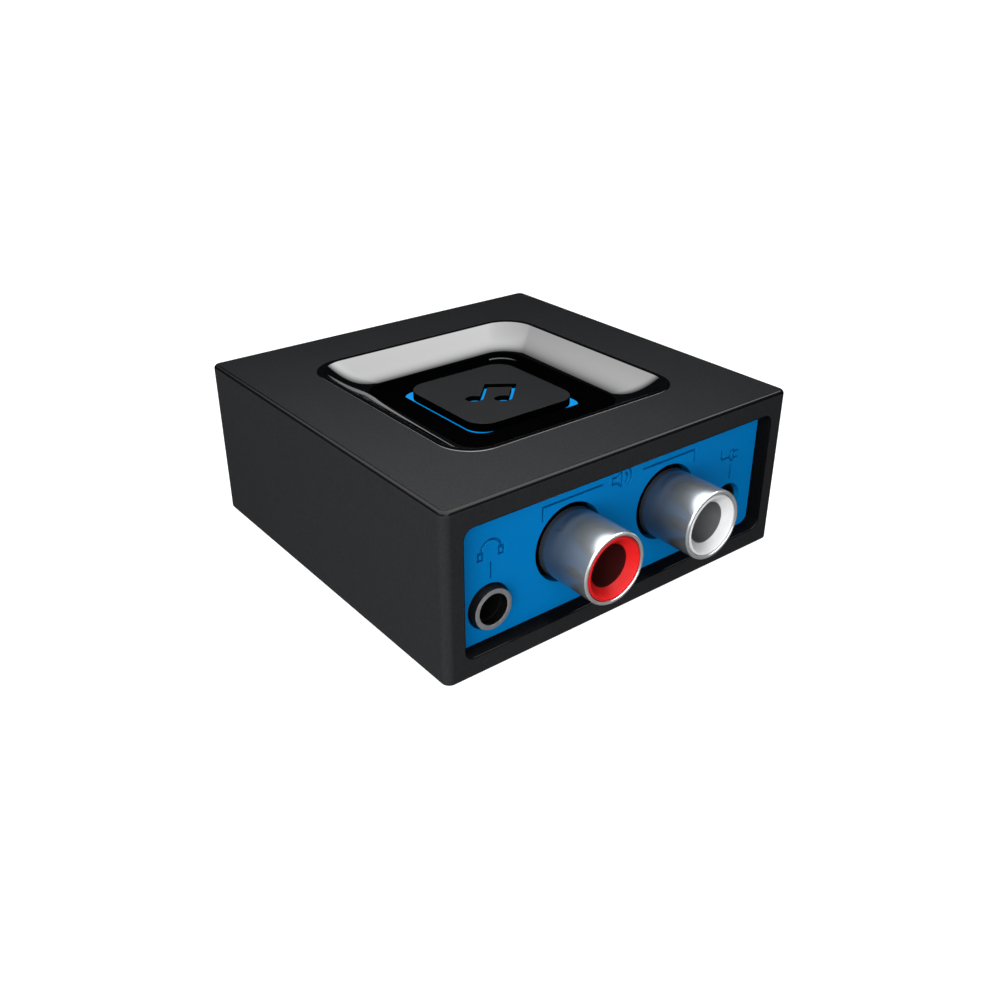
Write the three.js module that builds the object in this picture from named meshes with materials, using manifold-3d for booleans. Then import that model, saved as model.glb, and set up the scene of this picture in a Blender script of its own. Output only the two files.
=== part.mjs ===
// Desktop wireless audio receiver: a small square box with a blue connector panel at the front,
// two phono sockets, a 3.5 mm socket, a power socket, and a push button in a glossy dish on top.
//
// Units are millimetres. The housing frame used below has X across, Y from the front face to the
// back and Z up from the housing's underside. The whole group is then set so that its origin is
// the centre of the footprint, on the surface that the rubber feet stand on.

import * as THREE from 'three';
import { mergeVertices } from 'three/addons/utils/BufferGeometryUtils.js';
import Module from 'manifold-3d';

const wasm = await Module();
wasm.setup();

// ---------------------------------------------------------------- driving dimensions

// Housing
const WIDTH = 50.8;
const DEPTH = 50.8;
const HEIGHT = 20.4;
const WALL = 2.0;
const FRONT_WALL = 1.9;
const SIDE_CORNER = 1.0;
const TOP_FILLET = 0.5;
const BOTTOM_FILLET = 0.4;
const MIDDLE = DEPTH / 2;
const RIB_DEPTH = 0.8;
const RIB_THICK = 1.0;
const RIB_LOW = 4.4;
const RIB_HIGH = 15.0;

// Opening in the front wall
const OPENING_HALF = 22.9;
const OPENING_LOW = 2.35;
const OPENING_HIGH = 17.75;
const OPENING_CORNER = 1.2;

// Base, feet and screws
const BASE_THICK = 1.6;
const BASE_CORNER = 0.6;
const LABEL_WIDTH = 24;
const LABEL_DEPTH = 18;
const LABEL_SINK = 0.2;
const LABEL_CORNER = 0.8;
const STAND_RADIUS = 1.2;
const STANDS = [[-9, 20], [9, 20], [-9, 45], [9, 45]];
const FOOT_HEIGHT = 0.6;
const FOOT_RADIUS = 3.75;
const FOOT_SINK = 0.4;
const FOOT_CHAMFER = 0.2;
const FOOT_X = 18.6;
const FOOT_INSET = 6.6;
const SCREW_X = 20.2;
const SCREW_FRONT = 18.0;
const SCREW_REAR = 36.0;
const BOSS_RADIUS = 2.2;
const PILOT_RADIUS = 0.95;
const PILOT_TOP = 9.0;
const HEAD_RADIUS = 1.9;
const HEAD_LOW = 0.15;
const HEAD_CHAMFER = 0.3;
const HEAD_SEAT = 0.9;
const SHANK_RADIUS = 0.8;
const SHANK_HOLE = 1.1;
const SCREW_TIP = 7.8;
const CROSS_REACH = 1.1;
const CROSS_HALF = 0.22;
const CROSS_TOP = 0.6;

// Connector panel
const PANEL_THICK = 1.5;
const PANEL_BACK = FRONT_WALL + PANEL_THICK;
const PANEL_LOW = 1.8;
const MARK_WIDTH = 0.28;
const MARK_DEPTH = 0.2;

// Phono sockets
const PHONO_X = 7.5;
const PHONO_Z = 10.2;
const PHONO_HOLE = 4.73;
const SHELL_RADIUS = 4.2;
const SHELL_BORE = 3.8;
const INSERT_RADIUS = 3.7;
const INSERT_LIP = 3.45;
const INSERT_BORE = 2.5;
const JACK_REACH = 5.4;

// 3.5 mm socket and power socket
const AUX_X = -18.5;
const POWER_X = 18.4;
const SMALL_JACK_Z = 6.4;
const AUX_HOLE = 2.73;
const AUX_NOSE = 2.47;
const AUX_BORE = 1.85;
const AUX_FRONT = FRONT_WALL - 0.86;
const POWER_HOLE = 2.65;
const POWER_BORE = 2.2;
const POWER_NOSE = 2.45;
const POWER_FRONT = FRONT_WALL + 0.7;

// Circuit board
const BOARD_LOW = 2.3;
const BOARD_TOP = 3.9;
const BOARD_HALF = 22.8;
const BOARD_BACK = 48.2;
const LEG_LOW = 1.9;

// Gaps: between a piece and what it stands on, and round a piece that drops into another
const SIT = 0.05;
const PLAY = 0.1;

// How far a cutter runs past the face that it opens
const PAST = 1.0;

// Dish, button and light guide on top
const DISH_HALF = 16.8;
const DISH_CORNER = 4.5;
const DISH_SEAT = 0.8;
const WELL_HALF = 8.55;
const WELL_CORNER = 2.2;
const BUTTON_HALF = 7.75;
const BUTTON_CORNER = 2.7;
const BUTTON_TOP = 18.3;
const BUTTON_FILLET = 0.12;
const GUIDE_CORE_HALF = 5.0;
const GUIDE_CORE_CORNER = 1.2;
const GUIDE_CORE_TOP = 17.65;
const GUIDE_RIM = 17.25;
const GUIDE_GAP = 0.02;
const GUIDE_STEM = 1.5;
const FLANGE_TOP = 16.3;
const FLANGE_LOW = 15.3;

// Switch under the button
const SWITCH_HALF = 3.0;
const PLUNGER_TOP = 8.9;

// Facets
const ROUND = 32;
const SMALL_ROUND = 20;
const TINY_ROUND = 12;
const CORNER_STEPS = 5;
const CHIP_STEPS = 1;

// ---------------------------------------------------------------- geometry helpers

// Keeps positions only, joins coincident vertices and drops triangles with no area.
function closed(geometry) {
  const bare = geometry.clone();
  bare.deleteAttribute('normal');
  bare.deleteAttribute('uv');
  const merged = mergeVertices(bare, 1e-5);
  const index = merged.index.array;
  const kept = [];
  for (let i = 0; i < index.length; i += 3) {
    const [a, b, c] = [index[i], index[i + 1], index[i + 2]];
    if (a !== b && b !== c && c !== a) kept.push(a, b, c);
  }
  merged.setIndex(kept);
  return merged;
}

function solid(geometry) {
  const mesh = closed(geometry);
  return new wasm.Manifold(new wasm.Mesh({
    numProp: 3,
    vertProperties: new Float32Array(mesh.attributes.position.array),
    triVerts: new Uint32Array(mesh.index.array),
  }));
}

function fromSolid(manifold) {
  const mesh = manifold.getMesh();
  const geometry = new THREE.BufferGeometry();
  geometry.setAttribute('position', new THREE.BufferAttribute(new Float32Array(mesh.vertProperties), 3));
  geometry.setIndex(Array.from(mesh.triVerts));
  return geometry;
}

// First shape, with every shape in `added` joined on and every shape in `cuts` taken away.
function carve(base, cuts = [], added = []) {
  let result = solid(base);
  for (const piece of added) result = result.add(solid(piece));
  for (const piece of cuts) result = result.subtract(solid(piece));
  return fromSolid(result);
}

function block(xLow, xHigh, yLow, yHigh, zLow, zHigh) {
  const geometry = new THREE.BoxGeometry(xHigh - xLow, yHigh - yLow, zHigh - zLow);
  return geometry.translate((xLow + xHigh) / 2, (yLow + yHigh) / 2, (zLow + zHigh) / 2);
}

// Points of a rounded rectangle, anticlockwise.
function roundedOutline(halfX, halfY, corner, steps) {
  const points = [];
  const quarters = [[1, 1], [-1, 1], [-1, -1], [1, -1]];
  quarters.forEach(([sideX, sideY], quarter) => {
    for (let i = 0; i <= steps; i++) {
      const angle = (quarter + i / steps) * Math.PI / 2;
      const x = sideX * (halfX - corner) + corner * Math.cos(angle);
      const y = sideY * (halfY - corner) + corner * Math.sin(angle);
      points.push([x, y]);
    }
  });
  return points;
}

// Skin over a stack of rounded rectangles [halfX, halfY, z, corner] around (0, centreY).
// A hollow stack closes on itself as a ring; any other stack gets a flat face at each end.
function loft(stack, centreY, hollow = false, steps = CORNER_STEPS) {
  const vertices = [];
  const faces = [];
  const count = 4 * (steps + 1);
  for (const [halfX, halfY, z, corner] of stack) {
    for (const [x, y] of roundedOutline(halfX, halfY, corner, steps)) vertices.push(x, y + centreY, z);
  }
  const bands = hollow ? stack.length : stack.length - 1;
  for (let k = 0; k < bands; k++) {
    const low = k * count;
    const high = ((k + 1) % stack.length) * count;
    for (let i = 0; i < count; i++) {
      const next = (i + 1) % count;
      faces.push(low + i, low + next, high + next);
      faces.push(low + i, high + next, high + i);
    }
  }
  if (!hollow) {
    const last = (stack.length - 1) * count;
    const foot = vertices.length / 3;
    vertices.push(0, centreY, stack[0][2]);
    vertices.push(0, centreY, stack[stack.length - 1][2]);
    for (let i = 0; i < count; i++) {
      const next = (i + 1) % count;
      faces.push(foot, next, i);
      faces.push(foot + 1, last + i, last + next);
    }
  }
  const geometry = new THREE.BufferGeometry();
  geometry.setAttribute('position', new THREE.BufferAttribute(new Float32Array(vertices), 3));
  geometry.setIndex(faces);
  return geometry;
}

// Block with rounded upright corners and rounded top and bottom edges.
function softBlock(halfX, halfY, centreY, low, high, corner, filletLow, filletHigh) {
  const stack = [];
  const steps = 3;
  for (let i = 0; i <= steps; i++) {
    const angle = i / steps * Math.PI / 2;
    const inset = filletLow * (1 - Math.sin(angle));
    stack.push([halfX - inset, halfY - inset, low + filletLow * (1 - Math.cos(angle)), corner - inset]);
  }
  for (let i = 0; i <= steps; i++) {
    const angle = i / steps * Math.PI / 2;
    const inset = filletHigh * (1 - Math.cos(angle));
    stack.push([halfX - inset, halfY - inset, high - filletHigh * (1 - Math.sin(angle)), corner - inset]);
  }
  return loft(stack, centreY);
}

function plate(halfX, halfY, centreY, low, high, corner) {
  return loft([[halfX, halfY, low, corner], [halfX, halfY, high, corner]], centreY);
}

// Solid of revolution about Y. The profile is [radius, y]: up the outside, down the inside.
function turned(profile, facets) {
  const points = profile.map(([radius, y]) => new THREE.Vector2(radius, y));
  if (profile[0][0] > 0) points.push(points[0].clone());
  return closed(new THREE.LatheGeometry(points, facets));
}

// The same about an upright axis through (x, y).
function upright(profile, facets, x, y) {
  return turned(profile, facets).rotateX(Math.PI / 2).translate(x, y, 0);
}

function rod(radius, low, high, facets, x, y) {
  return upright([[0, low], [radius, low], [radius, high], [0, high]], facets, x, y);
}

// Rod along Y through (x, z).
function pin(radius, front, back, facets, x, z) {
  return turned([[0, front], [radius, front], [radius, back], [0, back]], facets).translate(x, 0, z);
}

// Prism along Y of a rounded rectangle given by its limits in X and Z.
function doorway(xLow, xHigh, zLow, zHigh, corner, front, back) {
  const height = zHigh - zLow;
  const prism = plate((xHigh - xLow) / 2, height / 2, 0, front, back, corner);
  prism.rotateX(-Math.PI / 2).translate((xLow + xHigh) / 2, 0, (zLow + zHigh) / 2);
  return prism;
}

// ---------------------------------------------------------------- assembly

const receiver = new THREE.Group();
const housing = new THREE.Group();
housing.position.set(0, JACK_REACH / 2 - MIDDLE, FOOT_HEIGHT);
receiver.add(housing);

function add(name, geometry, colour, roughness, metalness) {
  const finish = new THREE.MeshStandardMaterial({ color: colour, roughness, metalness, flatShading: true });
  const mesh = new THREE.Mesh(closed(geometry), finish);
  mesh.name = name;
  housing.add(mesh);
}

const matteBlack = (name, geometry) => add(name, geometry, 0x2b2b2d, 0.6, 0);
const glossBlack = (name, geometry) => add(name, geometry, 0x050506, 0.06, 0);
const bluePlastic = (name, geometry) => add(name, geometry, 0x006bae, 0.5, 0);
const darkPlastic = (name, geometry) => add(name, geometry, 0x17171a, 0.5, 0);
const nickel = (name, geometry) => add(name, geometry, 0xb9bcc2, 0.25, 1);
const contactMetal = (name, geometry) => add(name, geometry, 0xc9b26a, 0.35, 1);

const SIDES = [['left', -1], ['right', 1]];
const SCREWS = [
  ['front_left', -SCREW_X, SCREW_FRONT],
  ['front_right', SCREW_X, SCREW_FRONT],
  ['rear_left', -SCREW_X, SCREW_REAR],
  ['rear_right', SCREW_X, SCREW_REAR],
];
const FEET = [
  ['front_left', -FOOT_X, FOOT_INSET],
  ['front_right', FOOT_X, FOOT_INSET],
  ['rear_left', -FOOT_X, DEPTH - FOOT_INSET],
  ['rear_right', FOOT_X, DEPTH - FOOT_INSET],
];
// The red socket is the right channel and the white one the left, seen from the front.
const PHONOS = [
  ['red', -PHONO_X, 0xd8232a],
  ['white', PHONO_X, 0xdcdcdc],
];

// ---------------------------------------------------------------- housing and base

const CAVITY_HALF = WIDTH / 2 - WALL;
const CAVITY_TOP = HEIGHT - WALL;
const BOSS_LOW = 2.0;
const LEDGE = 18.9;

function housingShell() {
  const outside = softBlock(
    WIDTH / 2, DEPTH / 2, MIDDLE, 0, HEIGHT, SIDE_CORNER, BOTTOM_FILLET, TOP_FILLET);
  const recess = DISH_HALF + PLAY;
  const seat = DISH_HALF - DISH_SEAT;
  const openings = [
    block(-CAVITY_HALF, CAVITY_HALF, FRONT_WALL, DEPTH - WALL, -PAST, CAVITY_TOP),
    doorway(
      -OPENING_HALF, OPENING_HALF, OPENING_LOW, OPENING_HIGH, OPENING_CORNER, -PAST, FRONT_WALL + PAST),
    plate(recess, recess, MIDDLE, LEDGE, HEIGHT + PAST, DISH_CORNER + PLAY),
    plate(seat, seat, MIDDLE, CAVITY_TOP - PAST, HEIGHT, DISH_CORNER - DISH_SEAT),
  ];
  const hollow = carve(outside, openings);
  const root = CAVITY_TOP + WALL / 4;
  const bosses = SCREWS.map(([, x, y]) => rod(BOSS_RADIUS, BOSS_LOW, root, TINY_ROUND, x, y));
  const pilots = SCREWS.map(([, x, y]) => rod(PILOT_RADIUS, BOSS_LOW - PAST, PILOT_TOP, TINY_ROUND, x, y));
  const ribFront = PANEL_BACK + PLAY;
  const ribs = SIDES.map(([, side]) => {
    const edges = [side * (CAVITY_HALF - RIB_DEPTH), side * (CAVITY_HALF + WALL / 4)];
    return block(Math.min(...edges), Math.max(...edges), ribFront, ribFront + RIB_THICK, RIB_LOW, RIB_HIGH);
  });
  return carve(hollow, pilots, [...bosses, ...ribs]);
}
matteBlack('housing_shell', housingShell());

function baseCover() {
  const skin = plate(
    CAVITY_HALF - PLAY, (DEPTH - WALL - FRONT_WALL) / 2 - PLAY, (DEPTH - WALL + FRONT_WALL) / 2,
    0, BASE_THICK, BASE_CORNER);
  const inside = BASE_THICK / 2;
  const collars = SCREWS.map(([, x, y]) => rod(BOSS_RADIUS, inside, BOSS_LOW - SIT, TINY_ROUND, x, y));
  const stands = STANDS.map(([x, y]) => rod(STAND_RADIUS, inside, BOARD_LOW - SIT, TINY_ROUND, x, y));
  const pockets = FEET.map(([, x, y]) => rod(FOOT_RADIUS + PLAY, -PAST, FOOT_SINK, SMALL_ROUND, x, y));
  const heads = SCREWS.map(([, x, y]) => rod(HEAD_RADIUS + 2 * PLAY, -PAST, HEAD_SEAT, SMALL_ROUND, x, y));
  const holes = SCREWS.map(([, x, y]) => rod(SHANK_HOLE, 0, BOSS_LOW + PAST, TINY_ROUND, x, y));
  const label = plate(LABEL_WIDTH / 2, LABEL_DEPTH / 2, MIDDLE, -PAST, LABEL_SINK, LABEL_CORNER);
  return carve(skin, [...pockets, ...heads, ...holes, label], [...collars, ...stands]);
}
matteBlack('base_cover', baseCover());

for (const [place, x, y] of FEET) {
  const profile = [
    [0, -FOOT_HEIGHT], [FOOT_RADIUS - FOOT_CHAMFER, -FOOT_HEIGHT],
    [FOOT_RADIUS, -FOOT_HEIGHT + FOOT_CHAMFER], [FOOT_RADIUS, FOOT_SINK - SIT], [0, FOOT_SINK - SIT],
  ];
  add(`foot_${place}`, upright(profile, SMALL_ROUND, x, y), 0x1c1c1c, 0.9, 0);
}

for (const [place, x, y] of SCREWS) {
  const profile = [
    [0, HEAD_LOW], [HEAD_RADIUS - HEAD_CHAMFER, HEAD_LOW], [HEAD_RADIUS, HEAD_LOW + HEAD_CHAMFER],
    [HEAD_RADIUS, HEAD_SEAT - SIT], [SHANK_RADIUS, HEAD_SEAT - SIT],
    [SHANK_RADIUS, SCREW_TIP - SHANK_RADIUS], [SHANK_RADIUS / 3, SCREW_TIP], [0, SCREW_TIP],
  ];
  const cross = [
    block(x - CROSS_REACH, x + CROSS_REACH, y - CROSS_HALF, y + CROSS_HALF, -PAST, CROSS_TOP),
    block(x - CROSS_HALF, x + CROSS_HALF, y - CROSS_REACH, y + CROSS_REACH, -PAST, CROSS_TOP),
  ];
  add(`base_screw_${place}`, carve(upright(profile, TINY_ROUND, x, y), cross), 0x3a3a3d, 0.35, 1);
}

// ---------------------------------------------------------------- connector panel

// Straight groove in the panel's face between two points [x, z].
function groove([xStart, zStart], [xEnd, zEnd]) {
  const length = Math.hypot(xEnd - xStart, zEnd - zStart) + MARK_WIDTH;
  const cutter = new THREE.BoxGeometry(length, 2 * MARK_DEPTH, MARK_WIDTH);
  cutter.rotateY(-Math.atan2(zEnd - zStart, xEnd - xStart));
  return cutter.translate((xStart + xEnd) / 2, FRONT_WALL, (zStart + zEnd) / 2);
}

// The marks stand a little to the right of the sockets that they point at.
const MARK_SHIFT = 0.3;
const BRACKET_TOP = 15.65;
const BRACKET_FOOT = 14.1;
const BRACKET_OUT = 11.6;
const BRACKET_IN = 3.15;
const TICK_TOP = 11.6;
const TICK_FOOT = 9.85;

const tick = (x) => [[x + MARK_SHIFT, TICK_TOP], [x + MARK_SHIFT, TICK_FOOT]];
const bracketPoint = (side, reach, z) => [side * reach + MARK_SHIFT, z];
const PANEL_GROOVES = [
  tick(AUX_X),
  tick(POWER_X),
  ...SIDES.flatMap(([, side]) => [
    [bracketPoint(side, BRACKET_OUT, BRACKET_FOOT), bracketPoint(side, BRACKET_OUT, BRACKET_TOP)],
    [bracketPoint(side, BRACKET_OUT, BRACKET_TOP), bracketPoint(side, BRACKET_IN, BRACKET_TOP)],
  ]),
];

function connectorPanel() {
  const half = CAVITY_HALF - 2 * PLAY;
  const sheet = block(-half, half, FRONT_WALL, PANEL_BACK, PANEL_LOW, CAVITY_TOP - PLAY);
  const hole = (radius, facets, x, z) => pin(radius, FRONT_WALL - PAST, PANEL_BACK + PAST, facets, x, z);
  const holes = [
    ...PHONOS.map(([, x]) => hole(PHONO_HOLE, ROUND, x, PHONO_Z)),
    hole(AUX_HOLE, SMALL_ROUND, AUX_X, SMALL_JACK_Z),
    hole(POWER_HOLE, SMALL_ROUND, POWER_X, SMALL_JACK_Z),
  ];
  return carve(sheet, [...holes, ...PANEL_GROOVES.map(([start, end]) => groove(start, end))]);
}
bluePlastic('connector_panel', connectorPanel());

// ---------------------------------------------------------------- phono sockets

const LEAF_THICK = 0.3;
const BODY_FRONT = PANEL_BACK + 0.2;
const PHONO_BODY_BACK = 15.0;
const SHELL_SEAT = 5.0;
const INSERT_BACK = 9.0;
const STRAP_BACK = PHONO_BODY_BACK + 0.5;
const CONTACT_FRONT = 2.0;
const CONTACT_BACK = 8.2;
const CONTACT_BORE = 1.6;
const CONTACT_RADIUS = 1.9;
const TAIL_RADIUS = 0.8;
const STRAP_HALF = 0.6;
const LEG_FRONT = 3.8;
const LEG_THICK = 0.5;
const LEG_HALF = 0.7;
const PHONO_BODY_HALF = 5.0;
const PHONO_BODY_TOP = 15.4;
const RIM_FRONT = -JACK_REACH;
const RIM_ROLL = 0.22;
const RIM_TUCK = 0.4;
const RIM_LIP = 0.04;
const RIM_BEND = 0.06;
const INSERT_FRONT = RIM_FRONT + 0.05;
const CONE_DEPTH = 1.0;
const INSERT_FLOOR = INSERT_BACK - 0.6;
const INSERT_TAIL = 1.0;

for (const [colour, x, paint] of PHONOS) {
  const barrel = turned([
    [SHELL_RADIUS, RIM_FRONT + RIM_ROLL], [SHELL_RADIUS, SHELL_SEAT], [SHELL_BORE, SHELL_SEAT],
    [SHELL_BORE, RIM_FRONT + RIM_TUCK], [SHELL_BORE - RIM_LIP, RIM_FRONT + RIM_ROLL],
    [SHELL_BORE + RIM_BEND, RIM_FRONT + RIM_BEND], [(SHELL_BORE + SHELL_RADIUS) / 2, RIM_FRONT],
    [SHELL_RADIUS - RIM_BEND, RIM_FRONT + RIM_BEND],
  ], ROUND).translate(x, 0, PHONO_Z);
  const leg = block(
    x - LEG_HALF, x + LEG_HALF, LEG_FRONT, LEG_FRONT + LEG_THICK, LEG_LOW, PHONO_Z - SHELL_BORE - PLAY);
  nickel(`phono_shell_${colour}`, carve(barrel, [], [leg]));

  const insert = turned([
    [INSERT_RADIUS, INSERT_FRONT], [INSERT_RADIUS, INSERT_BACK], [INSERT_TAIL, INSERT_BACK],
    [INSERT_TAIL, INSERT_FLOOR], [INSERT_BORE, INSERT_FLOOR], [INSERT_BORE, INSERT_FRONT + CONE_DEPTH],
    [INSERT_LIP, INSERT_FRONT],
  ], ROUND).translate(x, 0, PHONO_Z);
  add(`phono_insert_${colour}`, insert, paint, 0.35, 0);

  const socket = turned([
    [0, CONTACT_BACK - LEAF_THICK], [CONTACT_BORE, CONTACT_BACK - LEAF_THICK], [CONTACT_BORE, CONTACT_FRONT],
    [CONTACT_RADIUS, CONTACT_FRONT], [CONTACT_RADIUS, CONTACT_BACK], [TAIL_RADIUS, CONTACT_BACK],
    [TAIL_RADIUS, STRAP_BACK], [0, STRAP_BACK],
  ], TINY_ROUND).translate(x, 0, PHONO_Z);
  const strap = block(
    x - STRAP_HALF, x + STRAP_HALF, PHONO_BODY_BACK + PLAY, STRAP_BACK, LEG_LOW, PHONO_Z + STRAP_HALF);
  contactMetal(`phono_contact_${colour}`, carve(socket, [], [strap]));

  const body = block(
    x - PHONO_BODY_HALF, x + PHONO_BODY_HALF, BODY_FRONT, PHONO_BODY_BACK, BOARD_TOP + SIT, PHONO_BODY_TOP);
  darkPlastic(`phono_body_${colour}`, carve(body, [
    pin(SHELL_RADIUS + PLAY, 0, SHELL_SEAT + PLAY, ROUND, x, PHONO_Z),
    pin(SHELL_BORE, SHELL_SEAT - PAST, INSERT_BACK + PLAY, ROUND, x, PHONO_Z),
    pin(INSERT_TAIL, INSERT_BACK - PAST, PHONO_BODY_BACK + PAST, TINY_ROUND, x, PHONO_Z),
    block(x - 1, x + 1, 0, LEG_FRONT + LEG_THICK + 0.3, 0, PHONO_Z - SHELL_BORE),
  ]));
}

// ---------------------------------------------------------------- 3.5 mm socket

const AUX_BACK = 14.5;
const AUX_HALF = 3.1;
const AUX_TOP = 9.4;
const AUX_CHAMFER = 0.15;
const LEAF_WIDTH = 1.2;
const LEAF_FRONTS = [['sleeve', 4.9], ['ring', 8.4], ['tip', 11.9]];

function auxBody() {
  const body = block(AUX_X - AUX_HALF, AUX_X + AUX_HALF, BODY_FRONT, AUX_BACK, BOARD_TOP + SIT, AUX_TOP);
  const nose = turned([
    [0, AUX_FRONT], [AUX_NOSE - AUX_CHAMFER, AUX_FRONT], [AUX_NOSE, AUX_FRONT + AUX_CHAMFER],
    [AUX_NOSE, BODY_FRONT + 1], [0, BODY_FRONT + 1],
  ], SMALL_ROUND).translate(AUX_X, 0, SMALL_JACK_Z);
  const slots = LEAF_FRONTS.map(([, y]) => block(
    AUX_X + AUX_BORE - 0.5, AUX_X + AUX_HALF + PAST, y - 0.3, y + LEAF_WIDTH + 0.3,
    BOARD_TOP, SMALL_JACK_Z + 0.8));
  const bore = pin(AUX_BORE, AUX_FRONT - PAST, AUX_BACK - 1.2, SMALL_ROUND, AUX_X, SMALL_JACK_Z);
  return carve(body, [bore, ...slots], [nose]);
}
darkPlastic('aux_body', auxBody());

// Each leaf stands in its slot and its leg goes down through the board.
const LEAF_X = AUX_X + AUX_HALF - 0.6;
for (const [name, y] of LEAF_FRONTS) {
  const leaf = block(LEAF_X, LEAF_X + LEAF_THICK, y, y + LEAF_WIDTH, LEG_LOW, SMALL_JACK_Z + 0.5);
  const finger = block(
    AUX_X + AUX_BORE - 0.3, LEAF_X + 0.1, y, y + LEAF_WIDTH, SMALL_JACK_Z, SMALL_JACK_Z + LEAF_THICK);
  contactMetal(`aux_contact_${name}`, carve(leaf, [], [finger]));
}

// ---------------------------------------------------------------- power socket

const POWER_HALF = 3.5;
const POWER_BACK = 15.0;
const POWER_TOP = 9.6;
const POWER_LEG = POWER_BACK + PLAY;
const POWER_LEG_THICK = 0.4;
const POWER_STRAP_HALF = 0.6;
const PIN_FRONT = 5.2;
const PIN_RADIUS = 0.65;
const PIN_TAIL = 0.4;
const SPRING_FRONT = 8.8;
const SPRING_BACK = 9.9;

function powerBody() {
  const body = block(
    POWER_X - POWER_HALF, POWER_X + POWER_HALF, BODY_FRONT, POWER_BACK, BOARD_TOP + SIT, POWER_TOP);
  const nose = pin(POWER_NOSE, POWER_FRONT, BODY_FRONT + 1, SMALL_ROUND, POWER_X, SMALL_JACK_Z);
  return carve(body, [
    pin(POWER_BORE, 0, POWER_BACK - WALL, SMALL_ROUND, POWER_X, SMALL_JACK_Z),
    pin(PIN_TAIL + PLAY, 10, POWER_BACK + PAST, TINY_ROUND, POWER_X, SMALL_JACK_Z),
    block(
      POWER_X - POWER_STRAP_HALF - 0.3, POWER_X + POWER_STRAP_HALF + 0.3, SPRING_FRONT - 0.3,
      SPRING_BACK + 0.6, BOARD_TOP, SMALL_JACK_Z - 1.5),
  ], [nose]);
}
darkPlastic('power_body', powerBody());

const powerPin = turned([
  [0, PIN_FRONT], [PIN_TAIL, PIN_FRONT], [PIN_RADIUS, PIN_FRONT + 0.3],
  [PIN_RADIUS, POWER_BACK - WALL - PLAY], [PIN_TAIL, POWER_BACK - WALL - PLAY],
  [PIN_TAIL, POWER_LEG + POWER_LEG_THICK], [0, POWER_LEG + POWER_LEG_THICK],
], TINY_ROUND).translate(POWER_X, 0, SMALL_JACK_Z);

// Strip across the power socket's middle, standing or lying as its limits say.
const powerStrip = (front, back, low, high) =>
  block(POWER_X - POWER_STRAP_HALF, POWER_X + POWER_STRAP_HALF, front, back, low, high);
nickel('power_pin', carve(powerPin, [], [
  powerStrip(POWER_LEG, POWER_LEG + POWER_LEG_THICK, LEG_LOW, SMALL_JACK_Z + PIN_TAIL),
]));
contactMetal('power_contact', carve(
  powerStrip(SPRING_BACK - LEAF_THICK, SPRING_BACK, LEG_LOW, SMALL_JACK_Z - 1.9), [],
  [powerStrip(SPRING_FRONT, SPRING_BACK, SMALL_JACK_Z - 2.1, SMALL_JACK_Z - 2.1 + LEAF_THICK)]));

// ---------------------------------------------------------------- circuit board

const LEG_PLAY = 0.2;
const NOTCH_HALF = BOSS_RADIUS + 0.4;

// Hole through the board with room on every side for what goes through.
function boardSlot(xLow, xHigh, yLow, yHigh) {
  return block(
    xLow - LEG_PLAY, xHigh + LEG_PLAY, yLow - LEG_PLAY, yHigh + LEG_PLAY, BOARD_LOW - PAST, BOARD_TOP + PAST);
}

function mainBoard() {
  const board = block(-BOARD_HALF, BOARD_HALF, BODY_FRONT, BOARD_BACK, BOARD_LOW, BOARD_TOP);
  const notches = SCREWS.map(([, x, y]) => {
    const [low, high] = x < 0 ? [-BOARD_HALF - PAST, x + NOTCH_HALF] : [x - NOTCH_HALF, BOARD_HALF + PAST];
    return block(low, high, y - NOTCH_HALF, y + NOTCH_HALF, BOARD_LOW - PAST, BOARD_TOP + PAST);
  });
  const slots = PHONOS.flatMap(([, x]) => [
    boardSlot(x - LEG_HALF, x + LEG_HALF, 0, LEG_FRONT + LEG_THICK),
    boardSlot(x - STRAP_HALF, x + STRAP_HALF, PHONO_BODY_BACK + LEG_PLAY, STRAP_BACK),
  ]);
  const leafSlots = LEAF_FRONTS.map(([, y]) => boardSlot(LEAF_X, LEAF_X + LEAF_THICK, y, y + LEAF_WIDTH));
  const powerSlots = [[SPRING_BACK - LEAF_THICK, SPRING_BACK], [POWER_LEG, POWER_LEG + POWER_LEG_THICK]].map(
    ([front, back]) => boardSlot(POWER_X - POWER_STRAP_HALF, POWER_X + POWER_STRAP_HALF, front, back));
  return carve(board, [...notches, ...slots, ...leafSlots, ...powerSlots]);
}
add('main_board', mainBoard(), 0x1f5a35, 0.5, 0);

// Component standing on the board, centred on (x, y), with a chamfer round its top.
function chip(width, depth, height, x, y, corner = 0.15) {
  const top = BOARD_TOP + height;
  const stack = [
    [width / 2, depth / 2, BOARD_TOP + SIT, corner],
    [width / 2, depth / 2, top - 0.1, corner],
    [width / 2 - 0.1, depth / 2 - 0.1, top, corner],
  ];
  return loft(stack, 0, false, CHIP_STEPS).translate(x, y, 0);
}

add('radio_board', chip(13.5, 11, 0.8, -11, 40.5), 0x24456f, 0.5, 0);
nickel('radio_shield', plate(4.6, 4.2, 0, BOARD_TOP + 0.85, BOARD_TOP + 2.4, 0.4).translate(-9.4, 40.5, 0));
darkPlastic('audio_chip', chip(7, 7, 0.9, 10.5, 28));
darkPlastic('regulator_chip', chip(3.2, 1.7, 1.1, 13.6, 20.2));
add('power_coil', chip(5, 5, 2.8, 15, 34.6, 1.0), 0x3b3b3e, 0.7, 0);
nickel('crystal', chip(3.2, 2.5, 0.8, -12, 31, 0.3));

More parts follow.
